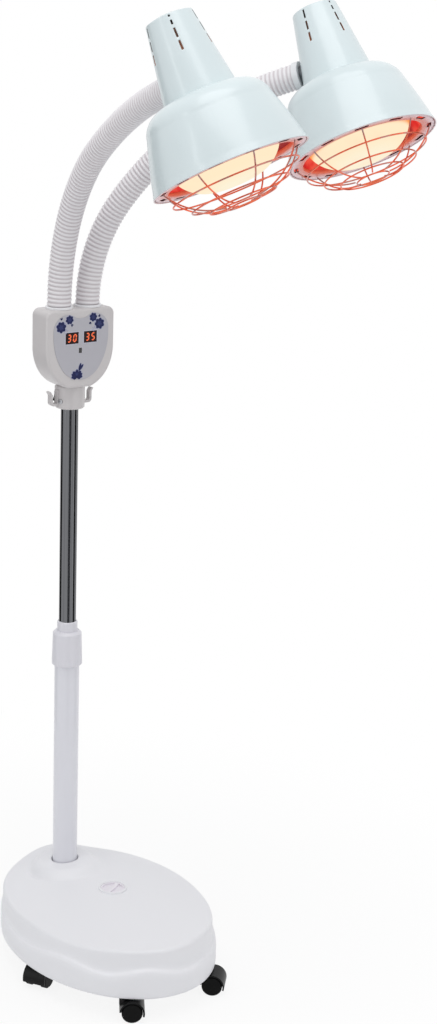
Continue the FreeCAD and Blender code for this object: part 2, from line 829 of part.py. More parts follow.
# ------------------------------------------------------------------------------------------------
# neck sleeve, switch and hooks
# ------------------------------------------------------------------------------------------------
pivot_reach = switch_face + switch_bezel - 0.6
cavity_radius = rocker_height / 2 + moving_gap
switch_body_half = switch_width / 2 - switch_lip
switch_body_rise = switch_height / 2 - switch_lip
switch_back = upper_tube_radius + switch_floor


def neck_sleeve():
    """Moulded sleeve that caps the chrome tube, with a spigot into the box and a flat switch seat."""
    bore = upper_tube_radius + seat_gap
    outline = [(bore, sleeve_bottom_z), (sleeve_radius - sleeve_edge, sleeve_bottom_z),
               (sleeve_radius, sleeve_bottom_z + sleeve_edge), (sleeve_radius, sleeve_top_z - sleeve_edge),
               (sleeve_radius - sleeve_edge, sleeve_top_z), (0, sleeve_top_z),
               (0, sleeve_top_z - sleeve_cap), (bore, sleeve_top_z - sleeve_cap)]
    sleeve = revolved(outline)
    spigot = tube(spigot_radius, spigot_radius - spigot_wall, sleeve_top_z, sleeve_top_z + spigot_rise,
                  box_centre_x)
    sleeve = sleeve.fuse(spigot)
    seat_half = switch_width / 2 + sleeve_seat_margin
    seat = block(upper_tube_radius + 2, switch_face, -seat_half, seat_half,
                 sleeve_bottom_z + sleeve_edge, sleeve_top_z - sleeve_edge)
    shave = block(switch_face, 2 * sleeve_radius, -seat_half, seat_half, sleeve_bottom_z - 1, sleeve_top_z)
    pocket = block(switch_back, 2 * sleeve_radius, -switch_body_half, switch_body_half,
                   switch_z - switch_body_rise, switch_z + switch_body_rise)
    sleeve = sleeve.fuse(turned(seat, switch_azimuth))
    sleeve = sleeve.cut(turned(shave, switch_azimuth)).cut(turned(pocket, switch_azimuth))
    hole = across_box(box_screw_radius + seat_gap, -2 * sleeve_radius, -upper_tube_radius, 0, clamp_screw_z)
    sink = across_box(box_screw_head_radius + seat_gap, -2 * sleeve_radius, -clamp_seat, 0, clamp_screw_z)
    return sleeve.cut(turned(hole.fuse(sink), clamp_screw_turn))


def switch_frame():
    """Black bezel of the rocker switch, let into the sleeve's flat seat."""
    half = switch_body_half - seat_gap
    rise = switch_body_rise - seat_gap
    body = block(switch_back + seat_gap, switch_face, -half, half, switch_z - rise, switch_z + rise)
    bezel = block(switch_face, switch_face + switch_bezel, -switch_width / 2, switch_width / 2,
                  switch_z - switch_height / 2, switch_z + switch_height / 2)
    cavity = across(cavity_radius, rocker_width / 2 + moving_gap, pivot_reach, switch_z)
    mouth = block(pivot_reach, pivot_reach + cavity_radius, -rocker_width / 2 - moving_gap,
                  rocker_width / 2 + moving_gap, switch_z - cavity_radius, switch_z + cavity_radius)
    return turned(body.fuse(bezel).cut(cavity.fuse(mouth)), switch_azimuth)


def switch_rocker():
    """Rocker with two shallow faces, tipped about a pin across the switch."""
    half = rocker_height / 2
    slope = math.radians(rocker_throw / 2)
    points = [(-rocker_depth, -rocker_heel), (0.0, -half), (half * math.sin(slope) + rocker_rise, -half + 0.8),
              (rocker_rise - 0.6, 0.0), (0.35, half - 0.2), (0.0, half), (-rocker_depth, rocker_heel)]
    corners = [V(pivot_reach + out, -rocker_width / 2, switch_z + up) for out, up in points]
    rocker = Part.Face(Part.makePolygon(corners + [corners[0]])).extrude(V(0, rocker_width, 0))
    rocker = rocker.common(across(half, rocker_width, pivot_reach, switch_z))
    return turned(rocker, switch_azimuth)


def cord_hook(side):
    """J-shaped hook: a pad on the sleeve, an arm below and a tip that flares outward."""
    root = sleeve_radius - 3.0
    out = sleeve_radius + hook_reach
    low = hook_low_z
    high = low + hook_rise
    thick = hook_thickness
    stem_top = high - hook_tip_height
    outer_side = [V(0, root, low), V(0, out - hook_bend, low), V(0, out, low + hook_bend), V(0, out, stem_top),
                  V(0, out + hook_flare, high)]
    inner_side = [V(0, out + hook_flare - thick * 0.8, high + 0.8), V(0, out - thick, stem_top),
                  V(0, out - thick, low + hook_bend), V(0, out - hook_bend, low + thick), V(0, root, low + thick)]
    centre = V(0, out - hook_bend, low + hook_bend)
    diagonal = V(0, math.cos(math.radians(45)), -math.sin(math.radians(45)))
    outer_middle = centre + diagonal * hook_bend
    inner_middle = centre + diagonal * (hook_bend - thick)
    edges = [Part.LineSegment(outer_side[0], outer_side[1]).toShape(),
             Part.Arc(outer_side[1], outer_middle, outer_side[2]).toShape(),
             Part.LineSegment(outer_side[2], outer_side[3]).toShape(),
             Part.LineSegment(outer_side[3], outer_side[4]).toShape(),
             Part.LineSegment(outer_side[4], inner_side[0]).toShape(),
             Part.LineSegment(inner_side[0], inner_side[1]).toShape(),
             Part.LineSegment(inner_side[1], inner_side[2]).toShape(),
             Part.Arc(inner_side[2], inner_middle, inner_side[3]).toShape(),
             Part.LineSegment(inner_side[3], inner_side[4]).toShape(),
             Part.LineSegment(inner_side[4], outer_side[0]).toShape()]
    hook = Part.Face(Part.Wire(edges)).extrude(V(hook_width, 0, 0))
    pad = block(0, hook_width, root, sleeve_radius + hook_pad, low, high + hook_pad_rise)
    hook = moved(hook.fuse(pad), V(-hook_width / 2, 0, 0))
    hook = hook.cut(rod(sleeve_radius + seat_gap, low - 5, high + 5))
    return hook if side > 0 else turned(hook, 180.0)


save("neck_sleeve", neck_sleeve())
save("switch_frame", switch_frame())
save("switch_rocker", switch_rocker())
save("cord_hooks", cord_hook(-1), cord_hook(1))


# ------------------------------------------------------------------------------------------------
# arms
# ------------------------------------------------------------------------------------------------
class Arm:
    """Route of one hose in its own upright plane: a quarter-like rise, then a long reach."""

    def __init__(self, index):
        self.name = arm_names[index]
        self.root = V(box_centre_x, arm_side[index] * hose_spacing / 2, hose_root_z)
        self.azimuth = arm_azimuth[index]
        self.rise = arm_rise_radius[index]
        self.reach = arm_reach_radius[index]
        self.crest = arm_crest_elevation[index]
        self.tip = arm_end_elevation[index]
        self.roll = head_roll[index]
        self.out = polar(1.0, self.azimuth)
        self.side = Z_AXIS.cross(self.out)

    def direction(self, elevation):
        """Unit vector along the hose where it climbs at an elevation."""
        angle = math.radians(elevation)
        return self.out * math.cos(angle) + Z_AXIS * math.sin(angle)

    def normal(self, elevation):
        """Unit vector square to the hose, on the inner side of its curve."""
        return self.direction(elevation - 90.0)

    def point(self, elevation):
        """Place on the hose's centre line where it climbs at an elevation."""
        rise_centre = self.root + self.out * self.rise
        if elevation >= self.crest:
            return rise_centre - self.normal(elevation) * self.rise
        crest_point = rise_centre - self.normal(self.crest) * self.rise
        reach_centre = crest_point + self.normal(self.crest) * self.reach
        return reach_centre - self.normal(elevation) * self.reach

    def centre(self, elevation):
        """Centre of the arc that the hose follows at an elevation."""
        radius = self.rise if elevation > self.crest else self.reach
        return self.point(elevation) + self.normal(elevation) * radius

    def arc(self, start, end, radius):
        """Stretch of hose of one curvature, between two elevations."""
        middle = (start + end) / 2
        circle = Part.Wire([Part.Circle(self.point(start), self.direction(start), radius).toShape()])
        return Part.Face(circle).revolve(self.centre(middle), self.side, start - end)

    def stretch(self, start, end, radius):
        """Stretch of hose between two elevations, across the crest where it spans it."""
        if start > self.crest > end:
            return self.arc(start, self.crest, radius).fuse(self.arc(self.crest, end, radius))
        return self.arc(start, end, radius)

    def shifted(self, elevation, distance):
        """Elevation of the place that lies a distance further along the hose."""
        radius = self.rise if elevation > self.crest else self.reach
        return elevation - math.degrees(distance / radius)


def bend_gap(limit):
    """Half the space between two stiff lengths so that their ends miss each other when bent."""
    return hose_radius * math.tan(math.radians(limit / 2)) + bend_spare


ball_radius = hose_radius - ball_inset
socket_radius = ball_radius + moving_gap


def hose_length(arm, start, end, plug_start, plug_end):
    """Hose wall between two elevations, closed by a plug at the ends that meet a bend."""
    pipe = arm.stretch(start, end, hose_radius)
    room_start = arm.shifted(start, bend_plug_length) if plug_start else start
    room_end = arm.shifted(end, -bend_plug_length) if plug_end else end
    return pipe.cut(arm.stretch(room_start, room_end, hose_radius - hose_wall))


def ferrule(arm):
    """White bush with a flange that holds the foot of the hose in the box's top."""
    low = box_top_z - ferrule_depth
    high = box_top_z + ferrule_flange_height
    x, y = arm.root.x, arm.root.y
    flange = rod(ferrule_flange_radius, box_top_z + seat_gap, high, x, y)
    flange = flange.makeChamfer(ferrule_edge, edges_at(flange, high))
    bush = rod(ferrule_radius, low, box_top_z + ferrule_flange_height / 2, x, y).fuse(flange)
    return bush.cut(rod(ferrule_bore + running_fit, low - 1, high + 1, x, y))


def hose_root(arm):
    """Turned foot of the hose: a spigot in the ferrule and a ring that keeps it there."""
    x, y = arm.root.x, arm.root.y
    spigot = rod(ferrule_bore, hose_foot_z, hose_root_z, x, y)
    ring = rod(hose_radius, hose_foot_z, hose_foot_z + root_ring_height, x, y)
    bore = rod(ferrule_bore - hose_wall, hose_foot_z - 1, hose_root_z + hose_wall, x, y)
    return spigot.fuse(ring).cut(bore)


def arm_bends(arm):
    """Elevations of the two bend centres."""
    low = 90.0 - low_bend_share * (90.0 - arm.crest)
    high = arm.crest - high_bend_share * (arm.crest - arm.tip)
    return low, high


def hose_parts(arm):
    """The three stiff lengths with their ball-and-cup bends."""
    low, high = arm_bends(arm)
    low_gap = bend_gap(low_bend_limit)
    high_gap = bend_gap(high_bend_limit)
    low_ball = Part.makeSphere(ball_radius, arm.point(low))
    high_ball = Part.makeSphere(ball_radius, arm.point(high))
    low_cup = Part.makeSphere(socket_radius, arm.point(low))
    high_cup = Part.makeSphere(socket_radius, arm.point(high))
    first = hose_length(arm, 90.0, arm.shifted(low, -low_gap), False, True)
    first = first.fuse(hose_root(arm)).cut(low_cup)
    second = hose_length(arm, arm.shifted(low, low_gap), arm.shifted(high, -high_gap), True, True)
    second = second.cut(high_cup).fuse(low_ball)
    third = hose_length(arm, arm.shifted(high, high_gap), arm.tip, True, False)
    third = third.fuse(high_ball)
    return first, second, third


def along(arm, radius, start, length):
    """Cylinder along the end of the hose, from a distance past the hose's end."""
    way = arm.direction(arm.tip)
    return Part.makeCylinder(radius, length, arm.point(arm.tip) + way * start, way)


def hose_cap(arm):
    """End cap on the hose with the stud that carries the lamp head, and its nut."""
    cap = along(arm, hose_cap_radius, -hose_cap_grip, hose_cap_grip + hose_cap_plate)
    cap = cap.cut(along(arm, hose_radius + seat_gap, -hose_cap_grip - 1, hose_cap_grip + 1))
    wall_far = hose_cap_plate + moving_gap + boss_proud + boss_inward
    stud = along(arm, head_stud_radius, hose_cap_plate - 0.5,
                 wall_far + moving_gap + head_nut_height + 2.0 - hose_cap_plate)
    way = arm.direction(arm.tip)
    start = arm.point(arm.tip) + way * (wall_far + moving_gap)
    corners = []
    for step in range(7):
        angle = math.radians(60 * step)
        across_way = arm.side * math.cos(angle) + arm.direction(arm.tip + 90.0) * math.sin(angle)
        corners.append(start + across_way * head_nut_radius)
    nut = Part.Face(Part.makePolygon(corners)).extrude(way * head_nut_height)
    nut = nut.cut(along(arm, head_stud_radius + weld_gap, wall_far - 1, 3 * head_nut_height))
    return cap.fuse(stud), nut


# ------------------------------------------------------------------------------------------------
# lamp heads, built upright with the rim at z = 0 and the hose arriving from +X
# ------------------------------------------------------------------------------------------------
neck_slope = math.atan2(neck_radius - crown_radius, crown_height - neck_height)


def neck_radius_at(height):
    """Outer radius of the conical neck at a height."""
    return neck_radius - math.tan(neck_slope) * (height - neck_height)


def shade_profile(inset):
    """Closed half outline of the shade drawn in by an inset, as a face in the XZ plane."""
    slant = inset / math.cos(neck_slope)
    rim = V(rim_radius - inset, 0, 0)
    lip = V(lip_radius - inset, 0, lip_height)
    skirt = V(skirt_mid_radius - inset, 0, skirt_mid_height)
    top = V(skirt_top_radius - inset, 0, skirt_top_height)
    shoulder = V(shoulder_radius - 0.6 * inset, 0, shoulder_height - 0.8 * inset)
    neck = V(neck_radius_at(neck_height - inset) - slant, 0, neck_height - inset)
    dome_radius = (crown_radius ** 2 + crown_rise ** 2) / (2 * crown_rise)
    dome_centre = V(0, 0, crown_height + crown_rise - dome_radius)
    height = crown_height
    for step in range(5):
        half_angle = math.asin((neck_radius_at(height) - slant) / (dome_radius - inset))
        height = dome_centre.z + math.cos(half_angle) * (dome_radius - inset)
    crown, cap, peak = [dome_centre + V(math.sin(angle), 0, math.cos(angle)) * (dome_radius - inset)
                        for angle in (half_angle, half_angle / 2, 0.0)]
    edges = [Part.LineSegment(ORIGIN, rim).toShape(), Part.LineSegment(rim, lip).toShape(),
             Part.Arc(lip, skirt, top).toShape(), Part.Arc(top, shoulder, neck).toShape(),
             Part.LineSegment(neck, crown).toShape(),
             Part.Arc(crown, cap, peak).toShape(), Part.LineSegment(peak, ORIGIN).toShape()]
    return Part.Face(Part.Wire(edges))


def boss_rod(radius, start, length):
    """Cylinder square to the neck where the hose attaches, from a distance outside the wall."""
    surface = V(neck_radius_at(attach_height), 0, attach_height)
    outward = V(math.cos(neck_slope), 0, math.sin(neck_slope))
    return Part.makeCylinder(radius, length, surface + outward * start, outward * -1.0)


def vent_slots():
    """Rows of upright cooling slots round the neck; every second row ends in a short slot and a dot."""
    cuts = []
    for row in range(vent_rows):
        azimuth = vent_phase + 360.0 * row / vent_rows
        low = vent_first_height
        for length in vent_short_row if row % 2 else vent_long_row:
            slot = block(crown_radius / 2, neck_radius + 2, -vent_width / 2, vent_width / 2, low, low + length)
            cuts.append(turned(slot, azimuth))
            low = low + length + vent_gap
    return cuts


def shade():
    """Spun aluminium shade: flared skirt, rounded shoulder, vented conical neck, domed crown."""
    outer = shade_profile(0.0).revolve(ORIGIN, Z_AXIS, 360)
    inner = shade_profile(shade_wall).revolve(ORIGIN, Z_AXIS, 360)
    shell = outer.cut(inner)
    shell = shell.fuse(boss_rod(boss_radius, boss_proud, boss_proud + boss_inward))
    shell = shell.cut(boss_rod(head_stud_radius + running_fit, boss_proud + 1, boss_proud + boss_inward + 2))
    for slot in vent_slots():
        shell = shell.cut(slot)
    return shell


def trim_ring():
    """Pressed flange inside the rim, with slots for the guard's hooks."""
    outer = rim_radius - shade_wall - (rim_radius - lip_radius) * (trim_height + trim_thickness) / lip_height
    outer = outer - seat_gap
    outline = [(trim_opening_radius, trim_height), (outer, trim_height), (outer, trim_height + trim_thickness),
               (trim_opening_radius + trim_thickness, trim_height + trim_thickness),
               (trim_opening_radius + trim_thickness, trim_height + trim_lip_height),
               (trim_opening_radius, trim_height + trim_lip_height)]
    ring = revolved(outline)
    for step in range(trim_slots):
        centre = polar(slot_circle_radius, 0)
        slot = block(centre.x - slot_width / 2, centre.x + slot_width / 2, -slot_length / 2, slot_length / 2,
                     0, trim_height + trim_lip_height / 2)
        ring = ring.cut(turned(slot, guard_spoke_phase + 360.0 * step / trim_slots))
    return ring


def bulb_half(inset):
    """Half outline of the reflector bulb's glass, drawn in by an inset, as a face."""
    face = V(0, 0, inset - bulb_face_drop)
    face_mid = V(bulb_radius * 0.72 - 0.5 * inset, 0, inset - bulb_face_drop * 0.36)
    widest = V(bulb_radius - inset, 0, bulb_widest_height)
    back = V(bulb_side_radius - inset, 0, bulb_side_height)
    waist = V(bulb_waist_radius - inset, 0, bulb_waist_height)
    neck = V(bulb_neck_radius - inset, 0, bulb_neck_height)
    top = V(bulb_neck_radius - inset, 0, bulb_cap_bottom - inset)
    edges = [Part.Arc(face, face_mid, widest).toShape(), Part.Arc(widest, back, waist).toShape(),
             Part.LineSegment(waist, neck).toShape(), Part.LineSegment(neck, top).toShape(),
             Part.LineSegment(top, V(0, 0, top.z)).toShape(), Part.LineSegment(V(0, 0, top.z), face).toShape()]
    return Part.Face(Part.Wire(edges))


def bulb():
    """Reflector bulb: a hollow glass envelope and its screw cap."""
    glass = bulb_half(0.0).revolve(ORIGIN, Z_AXIS, 360)
    glass = glass.cut(bulb_half(bulb_glass).revolve(ORIGIN, Z_AXIS, 360))
    low = bulb_cap_bottom + weld_gap
    cap = rod(bulb_cap_radius, low, low + bulb_cap_length - 4.0)
    cap = cap.fuse(Part.makeCone(bulb_cap_radius, 4.0, 4.0, V(0, 0, low + bulb_cap_length - 4.0)))
    return [glass, cap]


def lampholder():
    """Ceramic screw holder that hangs from a disc wedged in the neck."""
    high = holder_bottom + holder_length
    low = high - holder_flange
    body = rod(holder_radius, holder_bottom, low)
    wall = shade_wall / math.cos(neck_slope) + seat_gap
    disc = Part.makeCone(neck_radius_at(low) - wall, neck_radius_at(high) - wall, holder_flange, V(0, 0, low))
    body = body.fuse(disc)
    return body.cut(rod(bulb_cap_radius + seat_gap, holder_bottom - 1,
                        bulb_cap_bottom + weld_gap + bulb_cap_length + seat_gap))


def circle_through(first, second, third):
    """Centre and radius of the circle through three (radius, height) points."""
    ax, ay = first
    bx, by = second
    cx, cy = third
    d = 2 * (ax * (by - cy) + bx * (cy - ay) + cx * (ay - by))
    aa = ax * ax + ay * ay
    bb = bx * bx + by * by
    cc = cx * cx + cy * cy
    x = (aa * (by - cy) + bb * (cy - ay) + cc * (ay - by)) / d
    y = (aa * (cx - bx) + bb * (ax - cx) + cc * (bx - ax)) / d
    return x, y, math.hypot(ax - x, ay - y)


def guard():
    """Wire guard: rings welded under spokes that follow one arc; every second spoke hooks in."""
    start = (slot_circle_radius, -1.0)
    middle = (guard_middle_radius, -guard_middle_depth)
    hub = (guard_hub_radius, -guard_depth)
    cx, cz, arc_radius = circle_through(start, middle, hub)

    def bearing(radius):
        """Angle on the spokes' arc where it crosses a radius."""
        return -math.degrees(math.acos((radius - cx) / arc_radius))

    pieces = []
    for step in range(guard_spokes):
        hooked = step % 2 == 0
        first = bearing(slot_circle_radius if hooked else short_spoke_radius)
        last = bearing(guard_hub_radius) - math.degrees(2.5 * guard_wire_radius / arc_radius)
        place = polar(arc_radius, first)
        begin = V(cx + place.x, 0, cz + place.y)
        tangent = V(-math.sin(math.radians(first)), 0, math.cos(math.radians(first)))
        circle = Part.Wire([Part.Circle(begin, tangent, guard_wire_radius).toShape()])
        spoke = Part.Face(circle).revolve(V(cx, 0, cz), Y_AXIS, first - last)
        if hooked:
            top = trim_height + trim_thickness + guard_wire_radius + seat_gap
            riser = rod(guard_wire_radius, begin.z, top, begin.x, 0)
            tail = Part.makeCylinder(guard_wire_radius, hook_tail, V(begin.x - hook_tail, 0, top), X_AXIS)
            spoke = spoke.fuse(Part.makeSphere(guard_wire_radius, begin)).fuse(riser)
            spoke = spoke.fuse(Part.makeSphere(guard_wire_radius, V(begin.x, 0, top))).fuse(tail)
        pieces.append(turned(spoke, guard_spoke_phase + 360.0 * step / guard_spokes))
    for radius in guard_rings:
        angle = math.radians(bearing(radius))
        reach = arc_radius + 2 * guard_wire_radius + weld_gap
        ring_radius = cx + reach * math.cos(angle)
        pieces.append(Part.makeTorus(ring_radius, guard_wire_radius, V(0, 0, cz + reach * math.sin(angle))))
    return pieces


def head_placement(arm):
    """Placement that sets an upright head on the stud at the end of an arm."""
    way = arm.direction(arm.tip)
    up = arm.direction(arm.tip + 90.0)
    roll = math.radians(arm.roll)
    lean = up * math.cos(roll) + way.cross(up) * math.sin(roll)
    head_z = way * -math.sin(neck_slope) + lean * math.cos(neck_slope)
    head_x = (way * -1.0 - head_z * math.sin(neck_slope)) * (1.0 / math.cos(neck_slope))
    head_y = head_z.cross(head_x)
    spacing = hose_cap_plate + moving_gap + boss_proud
    attach = arm.point(arm.tip) + way * spacing
    origin = attach - head_x * neck_radius_at(attach_height) - head_z * attach_height
    matrix = FreeCAD.Matrix(head_x.x, head_y.x, head_z.x, origin.x,
                            head_x.y, head_y.y, head_z.y, origin.y,
                            head_x.z, head_y.z, head_z.z, origin.z, 0, 0, 0, 1)
    return FreeCAD.Placement(matrix)


def placed(shape, placement):
    """Copy of an upright head piece set at a placement."""
    copy = shape.copy()
    copy.Placement = placement.multiply(copy.Placement)
    return copy


arms = [Arm(index) for index in range(len(arm_names))]
for arm in arms:
    first, second, third = hose_parts(arm)
    save("hose_socket_" + arm.name, ferrule(arm))
    save("hose_low_" + arm.name, first)
    save("hose_middle_" + arm.name, second)
    save("hose_tip_" + arm.name, third)
    save("hose_cap_" + arm.name, *hose_cap(arm))
    seat = head_placement(arm)
    save("shade_" + arm.name, placed(shade(), seat))
    save("trim_ring_" + arm.name, placed(trim_ring(), seat))
    save("lampholder_" + arm.name, placed(lampholder(), seat))
    save("bulb_" + arm.name, *[placed(piece, seat) for piece in bulb()])
    save("guard_" + arm.name, *[placed(piece, seat) for piece in guard()])
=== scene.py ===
import bmesh
import bpy
import numpy as np
from mathutils import Matrix, Vector


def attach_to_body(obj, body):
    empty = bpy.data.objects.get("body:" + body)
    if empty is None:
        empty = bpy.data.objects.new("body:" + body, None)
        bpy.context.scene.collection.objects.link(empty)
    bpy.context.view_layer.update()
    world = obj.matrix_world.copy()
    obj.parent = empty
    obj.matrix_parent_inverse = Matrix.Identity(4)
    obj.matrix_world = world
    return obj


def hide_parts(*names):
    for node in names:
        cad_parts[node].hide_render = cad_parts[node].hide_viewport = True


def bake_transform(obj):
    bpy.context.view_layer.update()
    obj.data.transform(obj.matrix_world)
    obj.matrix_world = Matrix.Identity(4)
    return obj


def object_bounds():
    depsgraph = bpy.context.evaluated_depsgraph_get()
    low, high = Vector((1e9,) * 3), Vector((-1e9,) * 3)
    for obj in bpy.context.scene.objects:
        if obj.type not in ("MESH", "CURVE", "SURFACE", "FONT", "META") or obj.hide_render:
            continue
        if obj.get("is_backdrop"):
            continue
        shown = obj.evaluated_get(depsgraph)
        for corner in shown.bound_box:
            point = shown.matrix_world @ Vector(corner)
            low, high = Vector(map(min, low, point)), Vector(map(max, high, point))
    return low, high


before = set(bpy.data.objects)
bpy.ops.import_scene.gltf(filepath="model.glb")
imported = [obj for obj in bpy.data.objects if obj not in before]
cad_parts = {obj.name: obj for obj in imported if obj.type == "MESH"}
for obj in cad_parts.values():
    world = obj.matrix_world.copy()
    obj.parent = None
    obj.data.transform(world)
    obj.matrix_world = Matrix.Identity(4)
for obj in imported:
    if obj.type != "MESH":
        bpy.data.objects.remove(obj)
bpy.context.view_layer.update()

# ----------------------------
# Camera: a long lens a little above the lamp heads, looking down on the front left corner.
# Its axes are unit vectors to its right, up and back.
camera_place = (2.0652, -1.3191, 1.27135)
camera_right = (0.59471, 0.80336, 0.03043)
camera_up = (-0.23425, 0.13695, 0.96248)
camera_back = (0.76906, -0.57953, 0.26963)
camera_lens = 70.64


def added(name, data):
    """A new object of the data, linked into the scene."""
    made = bpy.data.objects.new(name, data)
    bpy.context.scene.collection.objects.link(made)
    return made


camera = added("camera", bpy.data.cameras.new("camera"))
camera.data.lens = camera_lens
camera.data.sensor_width = 36.0
axes = Matrix((camera_right, camera_up, camera_back)).transposed().to_4x4()
camera.matrix_world = Matrix.Translation(camera_place) @ axes
bpy.context.scene.camera = camera
bpy.context.scene.view_settings.view_transform = "Standard"


# ----------------------------
# Studio: a white floor and surround, one large soft box overhead and two tall ones beside.
# Black and grey flags stand round the column, seen only in reflections, for the chrome's streaks.
class Value:
    """One socket of a recipe's nodes; + - * with a number or another value add Math nodes."""

    def __init__(self, recipe, socket):
        self.recipe, self.socket = recipe, socket

    def math(self, operation, *others):
        inputs = dict(enumerate((self, *others)))
        return self.recipe.node("ShaderNodeMath", {"operation": operation}, inputs)

    def __add__(self, other):
        return self.math("ADD", other)

    def __sub__(self, other):
        return self.math("SUBTRACT", other)

    def __mul__(self, other):
        return self.math("MULTIPLY", other)

    def ramp(self, low, high, start=0.0, end=1.0):
        """Soft step: start below low, end above high."""
        return self.recipe.node("ShaderNodeMapRange", {"interpolation_type": "SMOOTHSTEP"},
                                {0: self, 1: low, 2: high, 3: start, 4: end})


class Recipe:
    """A node tree, its output shader and whatever feeds it."""

    def __init__(self, owner, shader):
        owner.use_nodes = True
        self.owner, self.tree = owner, owner.node_tree
        self.shader = self.tree.nodes[shader]

    def node(self, kind, settings=None, inputs=None, output=0):
        """One node: its settings first, then the value or link of each socket."""
        made = self.tree.nodes.new(kind)
        for name, value in (settings or {}).items():
            setattr(made, name, value)
        for socket, value in (inputs or {}).items():
            self.feed(made.inputs[socket], value)
        return Value(self, made.outputs[output])

    def feed(self, socket, value):
        """Links a value to a socket, or sets a plain number or colour on it."""
        if isinstance(value, Value):
            self.tree.links.new(value.socket, socket)
        else:
            socket.default_value = value

    def set(self, **values):
        """Feeds the shader's own sockets; an underscore stands for the space in a name."""
        for name, value in values.items():
            self.feed(self.shader.inputs[name.replace("_", " ")], value)
        return self

    def mix(self, share, first, second):
        """Colour between two colours."""
        return self.node("ShaderNodeMix", {"data_type": "RGBA"}, {0: share, 6: first, 7: second}, 2)

    def place(self, axis=None):
        """Place on the object, in metres, or one coordinate of it."""
        where = self.node("ShaderNodeTexCoord", output="Object")
        if axis is None:
            return where
        return self.node("ShaderNodeSeparateXYZ", inputs={0: where}, output=axis)

    def noise(self, size, detail=2.0, stretch=(1.0, 1.0, 1.0)):
        """Clouds, 0 to 1, of about a size in metres."""
        scaled = self.node("ShaderNodeMapping", {"vector_type": "POINT"},
                           {0: self.place(), 3: tuple(part / size for part in stretch)})
        return self.node("ShaderNodeTexNoise", inputs={"Vector": scaled, "Scale": 1.0, "Detail": detail})

    def clouded(self, size, first, second, detail=2.0):
        """Colour that drifts between two in clouds of about a size in metres."""
        return self.mix(self.noise(size, detail), first, second)

    def field(self, name):
        """A number that the mesh carries at its points."""
        return self.node("ShaderNodeAttribute", {"attribute_name": name}, output="Fac")

    def grain(self, height, depth, strength=1.0):
        """Bump from a height of 0 to 1 that stands for a depth in metres."""
        inputs = {"Strength": strength, "Distance": depth, "Height": height}
        return self.set(Normal=self.node("ShaderNodeBump", inputs=inputs, output="Normal"))


def tint(red, green, blue):
    """Colour as seen, 0 to 255 a channel, as the shader's linear colour."""
    seen = np.array([red, green, blue]) / 255.0
    linear = np.where(seen <= 0.04045, seen / 12.92, ((seen + 0.055) / 1.055) ** 2.4)
    return (*linear.tolist(), 1.0)


def finish(name, **values):
    """A new material with its principled shader's values set."""
    return Recipe(bpy.data.materials.new(name), "Principled BSDF").set(**values)


def seen_directly(recipe):
    """1 for rays from the camera, off a gloss or through glass, and 0 for light on the object."""
    camera_ray, glossy_ray, clear_ray = (
        recipe.node("ShaderNodeLightPath", output=ray)
        for ray in ("Is Camera Ray", "Is Glossy Ray", "Is Transmission Ray"))
    return camera_ray.math("MAXIMUM", glossy_ray.math("MAXIMUM", clear_ray))


def lay_over(recipe, shader, share, output):
    """Mixes a shader over the recipe's own by a share, and feeds the output with the two."""
    own = Value(recipe, recipe.shader.outputs[0])
    both = recipe.node("ShaderNodeMixShader", inputs={0: share, 1: own, 2: shader})
    recipe.feed(recipe.tree.nodes[output].inputs["Surface"], both)


def circle(count):
    """Evenly spaced points of a circle of radius 1, at height 0."""
    turn = np.linspace(0, 2 * np.pi, count, endpoint=False)
    return np.stack([np.cos(turn), np.sin(turn), 0 * turn], -1)


white = (1.0, 1.0, 1.0, 1.0)
surround = Recipe(bpy.data.worlds.new("surround"), "Background")
bpy.context.scene.world = surround.owner
surround.set(Color=(0.97, 0.98, 1.0, 1.0), Strength=0.62)
backdrop = surround.node("ShaderNodeBackground", inputs={"Color": white, "Strength": 1.0})
lay_over(surround, backdrop, seen_directly(surround), "World Output")

floor_radius, floor_sides = 60.0, 96
floor_mesh = bpy.data.meshes.new("floor")
floor_mesh.from_pydata((floor_radius * circle(floor_sides)).tolist(), [], [list(range(floor_sides))])
added("floor", floor_mesh)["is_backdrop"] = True

# the paper keeps a little of its shadow close to the base, and is plain white further out
shadow_near, shadow_far, near_white = 0.15, 0.8, 0.88
paper = finish("floor_paper", Base_Color=(0.9, 0.9, 0.9, 1.0), Roughness=0.9, Specular_IOR_Level=0.0)
paper_x, paper_y = paper.place(0), paper.place(1)
squares = paper_x * paper_x + paper_y * paper_y
whiteness = squares.math("SQRT").ramp(shadow_near, shadow_far, near_white, 1.0)
glow = paper.node("ShaderNodeEmission", inputs={"Color": white, "Strength": 1.0})
lay_over(paper, glow, seen_directly(paper) * whiteness, "Material Output")
floor_mesh.materials.append(paper.owner)

lamp_aim = (0.15, 0.0, 0.8)
for name, place, width, height, power in (("box_overhead", (0.7, -0.5, 3.0), 1.8, 1.8, 23.0),
                                          ("box_left", (0.2, -2.6, 1.3), 0.2, 2.4, 5.5),
                                          ("box_right", (2.2, 1.9, 1.5), 0.7, 2.4, 8.0)):
    lamp = bpy.data.lights.new(name, "AREA")
    lamp.shape, lamp.size, lamp.size_y, lamp.energy = "RECTANGLE", width, height, power
    soft_box = added(name, lamp)
    soft_box.location = place
    soft_box.rotation_euler = (Vector(lamp_aim) - Vector(place)).to_track_quat("-Z", "Y").to_euler()

